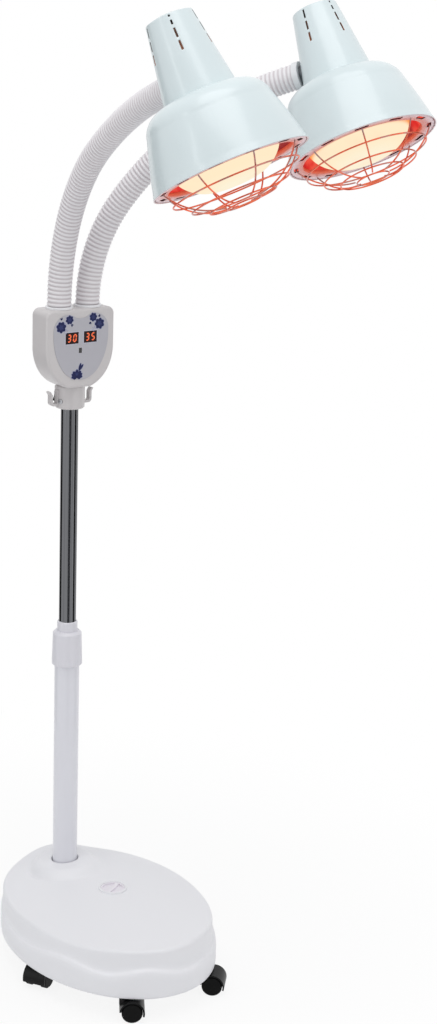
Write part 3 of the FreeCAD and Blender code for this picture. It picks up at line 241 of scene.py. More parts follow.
flag_reach, flag_height, flag_middle = 0.75, 1.3, 0.5
flag_black = finish("flag_black", Base_Color=(0.02, 0.02, 0.02, 1.0), Roughness=1.0, Specular_IOR_Level=0.0)
flag_grey = finish("flag_grey", Base_Color=(0.24, 0.24, 0.25, 1.0), Roughness=1.0, Specular_IOR_Level=0.0)
for name, bearing, spread, cloth in (("flag_left", -146.0, 36.0, flag_black),
                                     ("flag_middle", -20.0, 30.0, flag_grey),
                                     ("flag_right", 55.0, 26.0, flag_black)):
    toward = Vector((np.cos(np.radians(bearing)), np.sin(np.radians(bearing)), 0))
    side = Vector((-toward.y, toward.x, 0)) * flag_reach * np.tan(np.radians(spread / 2))
    middle = toward * flag_reach + Vector((0, 0, flag_middle))
    rise = Vector((0, 0, flag_height / 2))
    corners = (middle - side - rise, middle + side - rise, middle + side + rise, middle - side + rise)
    mesh = bpy.data.meshes.new(name)
    mesh.from_pydata([tuple(corner) for corner in corners], [], [(0, 1, 2, 3)])
    mesh.materials.append(cloth.owner)
    flag = added(name, mesh)
    flag.visible_camera = flag.visible_diffuse = flag.visible_shadow = flag.visible_transmission = False
    flag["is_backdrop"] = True


# ----------------------------
# Base tank: one blow-moulded oval shell of white polyethylene in two soft tiers. A wavy
# shoulder runs between the tiers, and the domed top swells up round the pole's hole.
def woven(points, closed=True):
    """Faces of a grid of points: each cell between two rows and two columns is one face;
    a closed grid joins its last column to its first."""
    rows, columns = points.shape[:2]
    index = np.arange(rows * columns).reshape(rows, columns)
    if closed:
        index = np.hstack([index, index[:, :1]])
    cells = np.stack([index[:-1, :-1], index[:-1, 1:], index[1:, 1:], index[1:, :-1]], -1)
    return cells.reshape(-1, 4)


merge_distance = 2e-7


def build(name, parts, finishes, slot, body=None, sharp=35.0, outward=True, thick=None, rim=1, **fields):
    """One object from parts of (points, faces): doubles merged, faces turned outwards, edges
    sharper than an angle kept crisp. Fields are numbers carried at the points. A thick sheet
    has the second finish on its other side, and the one numbered rim on its edges."""
    start = np.cumsum([0] + [part[0].size // 3 for part in parts])
    points = np.concatenate([part[0].reshape(-1, 3) for part in parts])
    faces = [face for shift, part in zip(start, parts) for face in (part[1] + shift).tolist()]
    mesh = bpy.data.meshes.new(name)
    mesh.from_pydata(points.tolist(), [], faces)
    for field, values in fields.items():
        mesh.attributes.new(field, "FLOAT", "POINT").data.foreach_set("value", np.ravel(values))
    if outward:
        work = bmesh.new()
        work.from_mesh(mesh)
        bmesh.ops.remove_doubles(work, verts=work.verts, dist=merge_distance)
        bmesh.ops.recalc_face_normals(work, faces=work.faces)
        work.to_mesh(mesh)
        work.free()
    mesh.shade_smooth()
    mesh.set_sharp_from_angle(angle=np.radians(sharp))
    for one in finishes:
        mesh.materials.append(one.owner)
    made = added(name, mesh)
    if thick:
        wall = made.modifiers.new("wall", "SOLIDIFY")
        wall.thickness, wall.offset = thick, -1.0
        wall.material_offset, wall.material_offset_rim = 1, rim
        wall.use_even_offset = True
    if body:
        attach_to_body(made, body)
    return made


eggshell_size, eggshell_depth = 0.0016, 0.00008


def moulded(name, colour, roughness, cloud=0.025, size=0.05, **values):
    """Moulded plastic: its colour varies a little in broad clouds, with a fine eggshell grain."""
    made = finish(name, **values)
    clouds = made.noise(size)
    low = tuple(channel * (1 - cloud) for channel in colour[:3]) + (1.0,)
    eggshell = made.noise(eggshell_size, 1.0)
    made.set(Base_Color=made.mix(clouds, low, colour),
             Roughness=clouds * 0.08 + eggshell * 0.06 + roughness - 0.07)
    return made.grain(eggshell, eggshell_depth, 0.5)


tank_centre, tank_half_length, tank_half_width = 0.103, 0.170, 0.123
tank_columns, top_rows, row_crowding = 384, 150, 0.9
hole_radius, socket_floor = 0.0182, 0.044
filler_place, filler_pit_radius, filler_pit_floor = np.array([0.097, 0.012]), 0.0172, 0.0905
around = np.linspace(0, 2 * np.pi, tank_columns, endpoint=False)

# in millimetres, by the bearing round the tank in degrees: heights of the shoulder between the
# tiers and of the crease round the top, and how far the upper tier is drawn in
shoulder = {-180: 60, -150: 65, -125: 60, -104: 56.5, -90: 57, -80: 62, -70: 66.7, -63: 66.2, -52: 61.8,
            -45: 58.3, -37: 61.4, -28: 67.2, -19: 68.8, -5: 62, 6: 58.5, 14: 60.5, 27: 61.5, 38: 58.5,
            50: 60, 65: 65, 80: 66, 98: 60, 112: 58, 130: 60, 155: 65}
crease = {-180: 95, -172: 91.5, -164: 88.5, -157: 87, -150: 86, -135: 85.5, -122: 84.5, -110: 82.8,
          -100: 83.6, -90: 84.8, -81: 84.9, -71: 85.3, -58: 86.2, -46: 88, -32: 90, -14: 90.5, 0: 91,
          9: 92, 19: 93.2, 33: 92.5, 50: 90, 70: 90, 100: 90.5, 130: 90, 145: 90, 153: 91.5, 160: 95,
          170: 96}
draw_in = {-180: 4, -150: 2.8, -130: 2.8, -120: 3.4, -110: 5, -100: 6.6, -90: 7.7, 5: 7.3, 19: 6,
           33: 5.4, 50: 6.2, 70: 7.5, 110: 7.7, 150: 6.5}
waves_kept = 16.0


def round_tank(table):
    """Smooth line, in metres, through a table of millimetres by bearing: straight from entry to
    entry, with the waves shorter than those kept faded out."""
    line = np.interp(np.degrees(around), list(table), [value / 1000 for value in table.values()], period=360)
    harmonics = np.arange(tank_columns // 2 + 1)
    return np.fft.irfft(np.fft.rfft(line) * np.exp(-(harmonics / waves_kept) ** 4), tank_columns)


shoulder_line, crease_line, upper_insets = (round_tank(table) for table in (shoulder, crease, draw_in))

# the rounded crease as inset and height, then the step at the shoulder and the foot's turned edge
crease_radius = 0.0042
crease_turn = np.radians(np.linspace(78, 0, 9))
crease_insets = upper_insets + crease_radius * (1 - np.cos(crease_turn[:, None]))
crease_heights = crease_radius * (np.sin(crease_turn) - np.sin(np.radians(45)))
step_shares = np.array([93, 89, 85, 79, 70, 58, 45, 33, 22, 14, 8, 4, 1])[:, None] / 100
step_heights = np.array([6.4, 4.6, 3.1, 1.9, 1.0, 0.5, 0.1, -0.5, -1.4, -2.6, -4.2, -6.2, -8.6]) / 1000
foot_insets = np.array([0, 0, 0.3, 1.0, 2.2, 6.0, 6.4, 6.4, 20, 60, 110]) / 1000
foot_heights = np.array([38, 33.5, 31.8, 30.6, 30.0, 30.0, 31, 34, 34, 34, 34]) / 1000


def oval_rows(insets, heights):
    """Rows of the oval drawn in by each inset, at a height that may vary round it."""
    insets = np.reshape(insets, (len(insets), -1))
    x = tank_centre + (tank_half_length - insets) * np.cos(around)
    y = (tank_half_width - insets) * np.sin(around)
    z = np.broadcast_to(np.reshape(heights, (len(insets), -1)), x.shape)
    return np.stack([x, y, z], -1)


crown, crown_power = 0.0970, 2.4
mound_rise, mound_inner, mound_fall, mound_lean = 0.0090, 0.034, 0.017, 0.005
dent_radius, dent_bearing, dent_depth, dent_width, dent_sweep = 0.048, -87.0, 0.0026, 0.005, 24


def tank_top(x, y):
    """Height of the top: it falls from its crown to the crease, swells round the pole, has a
    thumb's dent at the swelling's foot, and a pit that the filler sits in."""
    bearing = np.arctan2(y / tank_half_width, (x - tank_centre) / tank_half_length) % (2 * np.pi)
    lap = np.append(around, 2 * np.pi)
    inset = np.interp(bearing, lap, np.append(crease_insets[0], crease_insets[0, 0]))
    edge = np.interp(bearing, lap, np.append(crease_line, crease_line[0])) + crease_heights[0]
    way = np.hypot((x - tank_centre) / (tank_half_length - inset), y / (tank_half_width - inset))
    height = crown - (crown - edge) * way ** crown_power
    reach, turn = np.hypot(x, y), np.arctan2(y, x)
    fall = np.clip((reach - mound_inner) / (mound_fall + mound_lean * np.cos(turn)), 0, 1)
    height = height + mound_rise * (1 - fall ** 2 * (3 - 2 * fall))
    off = np.degrees(turn) - dent_bearing
    dent = np.exp(-((reach - dent_radius) / dent_width) ** 2) * np.exp(-(off / dent_sweep) ** 2)
    pit = np.hypot(x - filler_place[0], y - filler_place[1]) < filler_pit_radius
    return np.where(pit, filler_pit_floor, height - dent_depth * dent)


# the top's rows run from the hole out to the crease and stand a little closer near it
way_out = np.linspace(0, 1, top_rows)[:, None, None] ** row_crowding
hole = hole_radius * circle(tank_columns)
top_sheet = hole[None] * (1 - way_out) + oval_rows(crease_insets[:1], 0.0) * way_out
top_sheet[..., 2] = tank_top(top_sheet[..., 0], top_sheet[..., 1])

# the hole's lip turns down beside the tube and is closed at the socket's floor
lip_radii, lip_drops = np.array([0.0, 0.0163, 0.0167, 0.0174]), np.array([0.0, 0.0, 0.007, 0.0022])
lip = hole[None] * (lip_radii / hole_radius)[:, None, None]
lip[..., 2] = top_sheet[0, :, 2] - lip_drops[:, None]
lip[:2, :, 2] = socket_floor
crease_rows = oval_rows(crease_insets[1:], crease_line + crease_heights[1:, None])
down = np.linspace(0, 1, 10)[1:-1, None]
wall_top, wall_foot = crease_line + crease_heights[-1], shoulder_line + step_heights[0]
upper_wall = oval_rows(upper_insets * (1 - down * (1 - step_shares[0])),
                       wall_top * (1 - down) + wall_foot * down)
step_rows = oval_rows(upper_insets * step_shares, shoulder_line + step_heights[:, None])
step_foot = shoulder_line + step_heights[-1]
lower_wall = oval_rows(0 * down[:, 0], step_foot * (1 - down) + foot_heights[0] * down)
foot_rows = oval_rows(foot_insets, foot_heights)
underside = np.broadcast_to([tank_centre, 0.0, foot_heights[-1]], foot_rows[:1].shape)
tank = np.concatenate([lip, top_sheet, crease_rows, upper_wall, step_rows, lower_wall, foot_rows, underside])

tank_white = moulded("tank_white", tint(240, 240, 243), 0.46, 0.015, 0.09)
tank_shell = build("tank_shell", [(tank, woven(tank))], [tank_white], "base_plastic", "base")
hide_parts("base_shell")


# ----------------------------
# Filler: the tank's raised neck ring, and the moulded quarter-turn plug with its finger bar,
# which clamps a flat rubber seal. The ballast of dry sand is poured in there.
def turned(profile, angles):
    """Grid of points about the upright axis: a row for each (radius, height) of a profile and a
    column for each angle, at (radius times cosine, radius times sine, height)."""
    radius, height = profile[:, :1], profile[:, 1:]
    return np.stack([radius * np.cos(angles), radius * np.sin(angles), height + 0 * angles], -1)


def lathe(profile, columns=96, closed=False):
    """Points and faces of a profile turned all round; a closed profile ends where it starts."""
    if closed:
        profile = np.vstack([profile, profile[:1]])
    points = turned(profile, np.linspace(0, 2 * np.pi, columns, endpoint=False))
    return points, woven(points)


weld_distance, crisp_angle = 1e-6, 32.0


def dress(recipe, *names):
    """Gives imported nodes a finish. Their loose triangles are joined, and edges sharper than the
    crisp angle stay sharp."""
    for name in names:
        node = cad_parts[name]
        node.data.materials.clear()
        node.data.materials.append(recipe.owner)
        node.data.shade_smooth()
        node.modifiers.new("weld", "WELD").merge_threshold = weld_distance
        node.modifiers.new("crisp", "EDGE_SPLIT").split_angle = np.radians(crisp_angle)


ring_profile = np.array([(15.85, 91.0), (15.85, 98.5), (16.1, 98.9), (16.6, 99.0), (17.9, 99.0),
                         (18.3, 98.8), (18.5, 98.3), (18.5, 96.5), (18.0, 91.0)]) / 1000
ring, ring_faces = lathe(ring_profile, closed=True)
ring = ring + np.array([*filler_place, 0.0])
build("filler_ring", [(ring, ring_faces)], [tank_white], "base_plastic", "base")
plug_white = moulded("plug_white", tint(240, 236, 242), 0.38, 0.02, 0.03)
dress(plug_white, "filler_plug")

seal_rubber = moulded("seal_rubber", tint(40, 40, 42), 0.7, 0.2, 0.004)
dress(seal_rubber, "filler_seal")

sand = finish("sand")
sand.set(Base_Color=sand.clouded(0.0008, tint(120, 104, 84), tint(196, 180, 150), 3.0), Roughness=0.95)
sand.grain(sand.noise(0.0006, 2.0), 0.0004)
dress(sand, "ballast_fill")

# ----------------------------
# Casters: black nylon hoods moulded over twin wheels of the same nylon. A plated steel stem
# is pressed into the tank's sleeve, and the axle is riveted through the hood's web.
hood_black = moulded("hood_black", tint(14, 14, 15), 0.34, 0.3, 0.008, Specular_IOR_Level=0.16)
tread_black = moulded("tread_black", tint(14, 14, 14), 0.5, 0.3, 0.005, Specular_IOR_Level=0.1)
plated = finish("plated_steel", Metallic=1.0)
plated.set(Base_Color=plated.clouded(0.003, tint(176, 178, 182), tint(206, 208, 212)),
           Roughness=plated.noise(0.002, 3.0) * 0.15 + 0.2)
for number in range(1, 6):
    dress(hood_black, f"caster_{number}_hood")
    dress(plated, f"caster_{number}_pins")
    dress(tread_black, f"caster_{number}_wheels")

# ----------------------------
# Column: a white powder-coated lower tube, bolted up through the tank's socket, and a drawn
# and chromed upper tube that slides in it. A moulded collar on the mouth clamps the two.
pole_white = moulded("pole_white", tint(230, 230, 236), 0.30, 0.02, 0.06, Coat_Weight=0.25)
dress(pole_white, "lower_pole")
dress(plug_white, "pole_foot_plug")
dress(plated, "pole_bolt")
collar_white = moulded("collar_white", tint(226, 225, 231), 0.36, 0.02, 0.02)
dress(collar_white, "lock_collar", "collar_insert", "guide_bush")

chrome = finish("drawn_chrome", Metallic=1.0)
# painted reflections: the chrome's colour is kept dark and streaked dark and light along its length,
# standing in for reflected surroundings; the same streaks vary its roughness
painted_reflection_streaks = chrome.noise(0.0055, 2.0, (1.0, 1.0, 0.006))
chrome.set(Base_Color=chrome.mix(painted_reflection_streaks.ramp(0.36, 0.60), tint(74, 75, 78), tint(114, 115, 118)),
           Roughness=painted_reflection_streaks * 0.06 + 0.06)
dress(chrome, "upper_pole")

# ----------------------------
# Control box and neck: two shells and a sleeve moulded in one pale grey plastic, screwed
# together round a circuit board. The sleeve carries two cord hooks and the mains rocker switch,
# which snaps into its side, and the lead leaves the box at the back through a rubber gland.
box_white = moulded("box_white", tint(208, 204, 204), 0.36, 0.02, 0.03)
dress(box_white, "neck_sleeve", "cord_hooks", "box_front", "box_rear")
switch_black = moulded("switch_black", tint(18, 18, 19), 0.35, 0.2, 0.003, Specular_IOR_Level=0.2)
dress(switch_black, "switch_frame", "switch_rocker")
dress(plated, "case_screws")
dress(seal_rubber, "cable_gland")
board_green = moulded("board_green", tint(30, 92, 60), 0.4, 0.2, 0.004)
dress(board_green, "control_board")

# ----------------------------
# Fascia: a thin satin film of warm grey let into the box's front, screen printed with a few
# small flowers. The window of the remote control's receiver is set in it.
fascia_front = 0.0246
film = moulded("fascia_film", tint(184, 183, 190), 0.36, 0.03, 0.03)
dress(film, "fascia_panel")

window_glass = finish("window_glass", Roughness=0.12, Coat_Weight=0.5)
window_glass.set(Base_Color=window_glass.clouded(0.004, tint(12, 10, 12), tint(30, 24, 26)))
dress(window_glass, "receiver_window")

petal_fullness, petal_step = 0.55, 1.5e-6


def petals(centre, bearings, length, width, start=0.0, lift=0.0):
    """Flat petals on the fascia, in millimetres, each a hair above the one before, and how far
    each point is towards its petal's edge and tip. The half width follows a sine to a power."""
    turn = np.radians(bearings).reshape(-1, 1, 1)
    share = np.linspace(0, 1, 15)[None, :, None]
    across = np.linspace(-1, 1, 7)[None, None, :]
    along_way = start + length * share + 0 * across
    side_way = width * np.sin(np.pi * share ** 1.15) ** petal_fullness * across
    u = centre[0] + along_way * np.cos(turn) - side_way * np.sin(turn)
    v = centre[1] + along_way * np.sin(turn) + side_way * np.cos(turn)
    over = fascia_front + lift + petal_step * np.arange(len(turn)).reshape(-1, 1, 1)
    points = np.stack([0 * u + over, u / 1000, v / 1000], -1)
    fade = np.broadcast_to(np.abs(across) ** 2 * (0.3 + 0.7 * share), u.shape)
    return [(one, woven(one, closed=False)) for one in points], fade


def printed(name, groups, ink):
    """Several groups of petals as one print."""
    grids = [grid for group in groups for grid in group[0]]
    fades = np.concatenate([group[1].ravel() for group in groups])
    return build(name, grids, [ink], "fascia", "mast", outward=False, fade=fades)


def flat_ink(name, middle, edge):
    """Printing ink that changes from a petal's middle to its edge."""
    ink = finish(name, Roughness=0.4, Specular_IOR_Level=0.3)
    return ink.set(Base_Color=ink.mix(ink.field("fade").ramp(0.45, 0.95), middle, edge))


ink_navy = flat_ink("ink_navy", tint(16, 24, 76), tint(36, 52, 112))
ink_deep = flat_ink("ink_deep", tint(42, 52, 104), tint(16, 20, 60))
ink_pale = flat_ink("ink_pale", tint(146, 150, 186), tint(178, 182, 206))

# flowers of seven petals over a pale halo, with a heart of five: each one's middle across and
# up, its petals' length and the turn of the first
halo_lift, bloom_lift, heart_lift = 2e-5, 4e-5, 8e-5
flowers = (((-29.0, 823.6), 7.2, 12.0), ((-17.0, 831.9), 5.7, 40.0), ((17.2, 832.8), 5.6, 5.0),
           ((26.4, 824.2), 7.1, 28.0))
halos, blooms, hearts = [], [], []
for place, size, twist in flowers:
    outer, inner = twist + np.arange(7) * 360 / 7, twist + 25 + np.arange(5) * 72
    halos.append(petals(place, outer, size + 0.5, size * 0.36 + 0.5, lift=halo_lift))
    blooms.append(petals(place, outer, size, size * 0.36, lift=bloom_lift))
    hearts.append(petals(place, inner, size * 0.55, size * 0.17, lift=heart_lift))
buds = (((-28.6, 832.2), 70.0), ((27.2, 832.6), 110.0), ((-14.6, 826.2), -65.0), ((13.0, 827.4), -120.0))
for place, bearing in buds:
    blooms.append(petals(place, bearing + np.array([0, 45.0]), 3.4, 0.9, lift=bloom_lift))

# a tuft below the displays, with two long leaves above it, and faint sprigs round the flowers
tuft, leaves = (-5.7, 761.6), (-3.2, 767.4)
tuft_bearings, leaf_bearings = np.array([192, -12, 164, 16, 136, 44, 90.0]), np.array([50, 72.0])
halos.append(petals(tuft, tuft_bearings, 11.0, 3.0, start=-2.2, lift=halo_lift))
blooms.append(petals(tuft, tuft_bearings, 10.4, 2.5, start=-2.2, lift=bloom_lift))
blooms.append(petals(tuft, np.array([-40, 220.0]), 7.4, 2.1, start=-1.0, lift=5.5e-5))
hearts.append(petals(tuft, np.array([60, 90, 120.0]), 4.6, 0.8, lift=heart_lift))
halos.append(petals(leaves, leaf_bearings, 10.8, 2.0, lift=2.5e-5))
blooms.append(petals(leaves, leaf_bearings, 10.4, 1.5, lift=6e-5))
sprigs = (((-24.0, 825.9), 20.0), ((-21.6, 817.9), -30.0), ((21.4, 827.2), 160.0), ((18.6, 818.2), 200.0))
for place, bearing in sprigs:
    halos.append(petals(place, bearing + 60.0 * np.arange(6), 2.6, 0.5, start=0.8, lift=3e-5))
printed("print_halo", halos, ink_pale)
printed("print_flowers", blooms, ink_navy)
printed("print_hearts", hearts, ink_deep)

# ----------------------------
# Displays: two two-digit seven-segment modules with red diodes behind dark lenses. Each sits
# in a pale moulded frame that stands a little proud of the fascia.
lens_black = finish("lens_black", Roughness=0.25, Coat_Weight=0.15, Specular_IOR_Level=0.15)
lens_black.set(Base_Color=lens_black.clouded(0.006, tint(16, 4, 4), tint(44, 6, 6)))
dress(lens_black, "display_left", "display_right")

# in millimetres, but for the slant, as a share of the height, and the lift, in metres
digit_height, digit_width, digit_pitch = 9.8, 5.2, 8.0
stroke, slant, tip_gap, print_lift = 1.6, 0.10, 0.12, 6e-5
bars_lit = {"3": "abcdg", "0": "abcdef", "5": "acdfg"}
half_w, half_h = (digit_width - stroke) / 2, (digit_height - stroke) / 2
segment_ends = {"a": ((-half_w, half_h), (half_w, half_h)), "b": ((half_w, half_h), (half_w, 0)),
                "c": ((half_w, 0), (half_w, -half_h)), "d": ((-half_w, -half_h), (half_w, -half_h)),
                "e": ((-half_w, 0), (-half_w, -half_h)), "f": ((-half_w, half_h), (-half_w, 0)),
                "g": ((-half_w, 0), (half_w, 0))}


def segment(centre, ends):
    """One bar of a digit: a six-sided outline between two ends, leaned over by the slant."""
    start, end = (np.array(place) for place in ends)
    way = (end - start) / np.linalg.norm(end - start)
    side = np.array([-way[1], way[0]]) * stroke / 2
    tip, inset = way * tip_gap, way * (stroke / 2 + tip_gap)
    outline = np.array([start + tip, start + inset - side, end - inset - side,
                        end - tip, end - inset + side, start + inset + side])
    y = centre[0] + outline[:, 0] + slant * outline[:, 1]
    return np.stack([0 * y + fascia_front + print_lift, y / 1000, (centre[1] + outline[:, 1]) / 1000], -1)


digit_glow = finish("digit_glow", Base_Color=tint(60, 8, 4), Roughness=0.5, Emission_Strength=1.0)
digit_glow.set(Emission_Color=digit_glow.clouded(0.0022, tint(250, 74, 30), tint(255, 140, 88)))
frame_pale = moulded("display_frame", tint(198, 199, 212), 0.4)

# the lens's corners, and the frame as growths of that outline with the height of each
display_spread, display_height = 13.2, 809.0
lens_corners = np.array([(-9.5, -7.25), (9.5, -7.25), (9.5, 7.25), (-9.5, 7.25)])
frame_growth, frame_heights = (0.9, 0.85, -0.05, -0.1), np.array([0, 0.16, 0.16, 0.0])
for label, middle_y, figures in (("left", -display_spread, "30"), ("right", display_spread, "35")):
    bars = [(segment((middle_y + offset, display_height), segment_ends[bar]), np.arange(6)[None])
            for figure, offset in zip(figures, (-digit_pitch / 2, digit_pitch / 2))
            for bar in bars_lit[figure]]
    build(f"digits_{label}", bars, [digit_glow], "display", "mast", outward=False)
    rows = np.stack([lens_corners * (1 + grow / np.abs(lens_corners)) for grow in frame_growth])
    height = frame_heights[:, None] + 0 * rows[..., 0]
    border = np.stack([fascia_front + height / 1000, (rows[..., 0] + middle_y) / 1000,
                       (rows[..., 1] + display_height) / 1000], -1)
    build(f"display_frame_{label}", [(border, woven(border))], [frame_pale], "fascia", "mast", outward=False)


# ----------------------------
# Arms: corrugated white hose over a gooseneck, seated in a ring on the box and capped at
# the head. The two hoses follow one upright plane each: a tight rise, then a long reach.
socket_forward, socket_spread, socket_top = 0.006, 0.0205, 0.8469


class Arm:
    """Route of one hose, upright at an azimuth: from its socket over an arc of the radius rise to
    the elevation crest, then over one of the radius reach to the elevation tip. The roll turns
    the head about its end."""

    def __init__(self, name, side, azimuth, rise, reach, crest, tip, roll):
        self.name, self.rise, self.reach = name, rise, reach
        self.crest, self.tip, self.roll = crest, tip, roll
        self.root = np.array([socket_forward, side * socket_spread, socket_top])
        self.out = np.array([np.cos(np.radians(azimuth)), np.sin(np.radians(azimuth)), 0.0])
        self.side = np.cross([0.0, 0.0, 1.0], self.out)
        self.rise_length = rise * np.radians(90 - crest)
        self.length = self.rise_length + reach * np.radians(crest - tip)

    def way(self, elevation):
        """Unit vectors along the hose at elevations in degrees."""
        angle = np.radians(np.asarray(elevation, float))[..., None]
        return self.out * np.cos(angle) + np.array([0.0, 0.0, 1.0]) * np.sin(angle)

    def elevation(self, distance):
        """Elevation at a distance along the hose: it falls evenly round each of the two arcs."""
        distance = np.asarray(distance, float)
        return np.where(distance < self.rise_length, 90 - np.degrees(distance / self.rise),
                        self.crest - np.degrees((distance - self.rise_length) / self.reach))

    def point(self, distance):
        """Centre line: the centre of the arc it is on, less the arc's radius along its normal."""
        elevation = self.elevation(distance)
        normal = self.way(elevation - 90)
        crest_normal = self.way(self.crest - 90)
        rise_centre = self.root + self.out * self.rise
        reach_centre = rise_centre + crest_normal * (self.reach - self.rise)
        first = np.asarray(distance, float)[..., None] < self.rise_length
        return np.where(first, rise_centre - normal * self.rise, reach_centre - normal * self.reach)

    def bend(self, elevation):
        """Distance along the hose at which it climbs at an elevation."""
        if elevation >= self.crest:
            return self.rise * np.radians(90 - elevation)
        return self.rise_length + self.reach * np.radians(self.crest - elevation)


hose_outer, rib_pitch, rib_depth = 0.0152, 0.0053, 0.0012
rows_per_rib, hose_columns = 9, 40

hose_white = finish("hose_white")
groove = hose_white.field("groove")
smudge = hose_white.noise(0.012, 3.0)
crests = hose_white.mix(smudge, tint(232, 229, 231), tint(238, 236, 238))
# painted shade: the hose's colour darkens into the grooves between the ribs
hose_white.set(Base_Color=hose_white.mix(groove.ramp(0.2, 1.0), crests, tint(208, 201, 204)),
               Roughness=smudge * 0.1 + 0.42)
hose_white.grain(hose_white.noise(0.0011, 1.0), 0.00006, 0.5)


def tube(path, normal, side, radius, columns):
    """Rings of each radius about a path, in the plane of its normal and the side; ends closed."""
    path, normal, radius = (np.concatenate([line[:1], line, line[-1:]]) for line in (path, normal, radius))
    radius[0] = radius[-1] = 0.0
    cosine, sine, _ = circle(columns).T[..., None]
    return path[:, None] + (normal[:, None] * cosine + side * sine) * radius[:, None, None]


def hose(arm, start, end, name):
    """Corrugated hose between two distances: its radius falls by the rib's depth between
    the ribs, as a rounded wave of the distance. The wave is also carried at the points, for
    the painted shade in the grooves."""
    distance = np.linspace(start, end, int(round((end - start) / rib_pitch * rows_per_rib)) + 1)
    groove = 0.5 + 0.5 * np.cos(2 * np.pi * distance / rib_pitch)
    points = tube(arm.point(distance), arm.way(arm.elevation(distance) - 90), arm.side,
                  hose_outer - rib_depth * groove, hose_columns)
    # the wave kept at the points drives the painted shade in the grooves
    grooves = np.broadcast_to(np.pad(groove, 1, "edge")[:, None], points.shape[:2])
    return build(name, [(points, woven(points))], [hose_white], "hose_white", sharp=180.0, groove=grooves)


arms = [Arm("left", -1, -6.5, 0.2448, 0.5356, 35.0, 14.3, 14.1),
        Arm("right", 1, 33.3, 0.2175, 0.4329, 54.2, 17.4, -13.2)]
ring_white = moulded("socket_ring", tint(236, 236, 238), 0.34, 0.02, 0.01)
cap_white = moulded("cap_white", tint(228, 229, 231), 0.4, 0.03, 0.01)

# each bend is found at a share of its arc; the two lengths of hose skin meet on a rib, midway between a
# reach past the low bend and a reach short of the high one
low_share, low_reach, high_share, high_reach, depth_in_cap = 0.60, 0.065, 0.50, 0.055, 0.003
for arm in arms:
    low = arm.bend(90 - low_share * (90 - arm.crest))
    high = arm.bend(arm.crest - high_share * (arm.crest - arm.tip))
    split = rib_pitch * round((low + low_reach + high - high_reach) / 2 / rib_pitch)
    first = hose(arm, 0.0, split, f"hose_rise_{arm.name}")
    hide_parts(f"hose_low_{arm.name}", f"hose_middle_{arm.name}")
    arm.point(low - low_reach)
    arm.point(low + low_reach)
    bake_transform(first)
    second = hose(arm, split, arm.length - depth_in_cap, f"hose_reach_{arm.name}")
    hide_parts(f"hose_tip_{arm.name}")
    arm.point(high - high_reach)
    arm.point(high + high_reach)
    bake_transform(second)
    dress(ring_white, f"hose_socket_{arm.name}")
    dress(cap_white, f"hose_cap_{arm.name}")

# ----------------------------
# Lamp shades: spun aluminium, stove enamelled outside, with five rows of vent slots cut in the
# neck. A stud through a boss in the neck's wall, with a washer, bolts each to its hose's cap.
# Each head is worked out upright, rim at height 0, and then set on the end of its arm.
neck_bottom, neck_top = np.array([41.3, 84.0]) / 1000, np.array([26.6, 171.0]) / 1000
crown_rise = 0.005
neck_slope = np.arctan2(neck_bottom[0] - neck_top[0], neck_top[1] - neck_bottom[1])
attach_height, attach_spacing = 0.108, 0.0043


def neck_radius(height):
    """Outer radius of the conical neck at a height."""
    return neck_bottom[0] - np.tan(neck_slope) * (height - neck_bottom[1])


def head_seat(arm):
    """Origin and axes of a head: its neck's wall stands square to the end of the hose, rolled."""
    way, up = arm.way(arm.tip), arm.way(arm.tip + 90)
    roll = np.radians(arm.roll)
    lean = up * np.cos(roll) + np.cross(way, up) * np.sin(roll)
    z = -way * np.sin(neck_slope) + lean * np.cos(neck_slope)
    x = (-way - z * np.sin(neck_slope)) / np.cos(neck_slope)
    attach = arm.point(arm.length) + way * attach_spacing
    return attach - x * neck_radius(attach_height) - z * attach_height, np.stack([x, np.cross(z, x), z])


def boss_seat(seat):
    """Origin and axes of the boss on a head: its axis stands square to the neck's wall."""
    origin, axes = seat
    z = axes[0] * np.cos(neck_slope) + axes[2] * np.sin(neck_slope)
    place = origin + axes[0] * neck_radius(attach_height) + axes[2] * attach_height
    return place, np.stack([axes[1], np.cross(z, axes[1]), z])


def placed(part, seat):
    """An upright part's points set on a seat's origin and axes."""
    return part[0] @ seat[1] + seat[0], part[1]


def through(first, second, third, count):
    """Evenly spaced points of the circular arc through three points of a plane."""
    a, b, c = (np.asarray(point, float) for point in (first, second, third))
    d = 2 * (a[0] * (b[1] - c[1]) + b[0] * (c[1] - a[1]) + c[0] * (a[1] - b[1]))
    squares = np.array([a @ a, b @ b, c @ c])
    centre = np.array([squares @ np.array([b[1] - c[1], c[1] - a[1], a[1] - b[1]]),
                       squares @ np.array([c[0] - b[0], a[0] - c[0], b[0] - a[0]])]) / d
    angles = np.unwrap([np.arctan2(*(point - centre)[::-1]) for point in (a, b, c)])
    angle = np.linspace(angles[0], angles[2], count)[:, None]
    return centre + np.hypot(*(a - centre)) * np.hstack([np.cos(angle), np.sin(angle)])


def pierced(profile, step, slots, half_slot, along):
    """A profile turned on columns a step apart and at the slots' edges, without the cells that a
    slot covers. A slot is its bearing and its two ends in the radius, along 0, or height, 1."""
    edges = [slot[0] + side for slot in slots for side in (-half_slot, half_slot)]
    azimuths = np.concatenate([np.arange(0, 360, step), edges]) % 360
    points = turned(profile, np.radians(np.unique(azimuths.round(4))))
    faces = woven(points)
    x, y, z = points.reshape(-1, 3)[faces].mean(1).T
    bearing, place = np.degrees(np.arctan2(y, x)), (np.hypot(x, y), z)[along]
    keep = np.ones(len(faces), bool)
    for middle, low, high in slots:
        near = np.abs((bearing - middle + 180) % 360 - 180) < half_slot
        keep &= ~(near & (place > low) & (place < high))
    return points, faces[keep]


vent_rows, vent_phase, vent_width, vent_radius = 5, 78.8, 0.0024, 0.0315

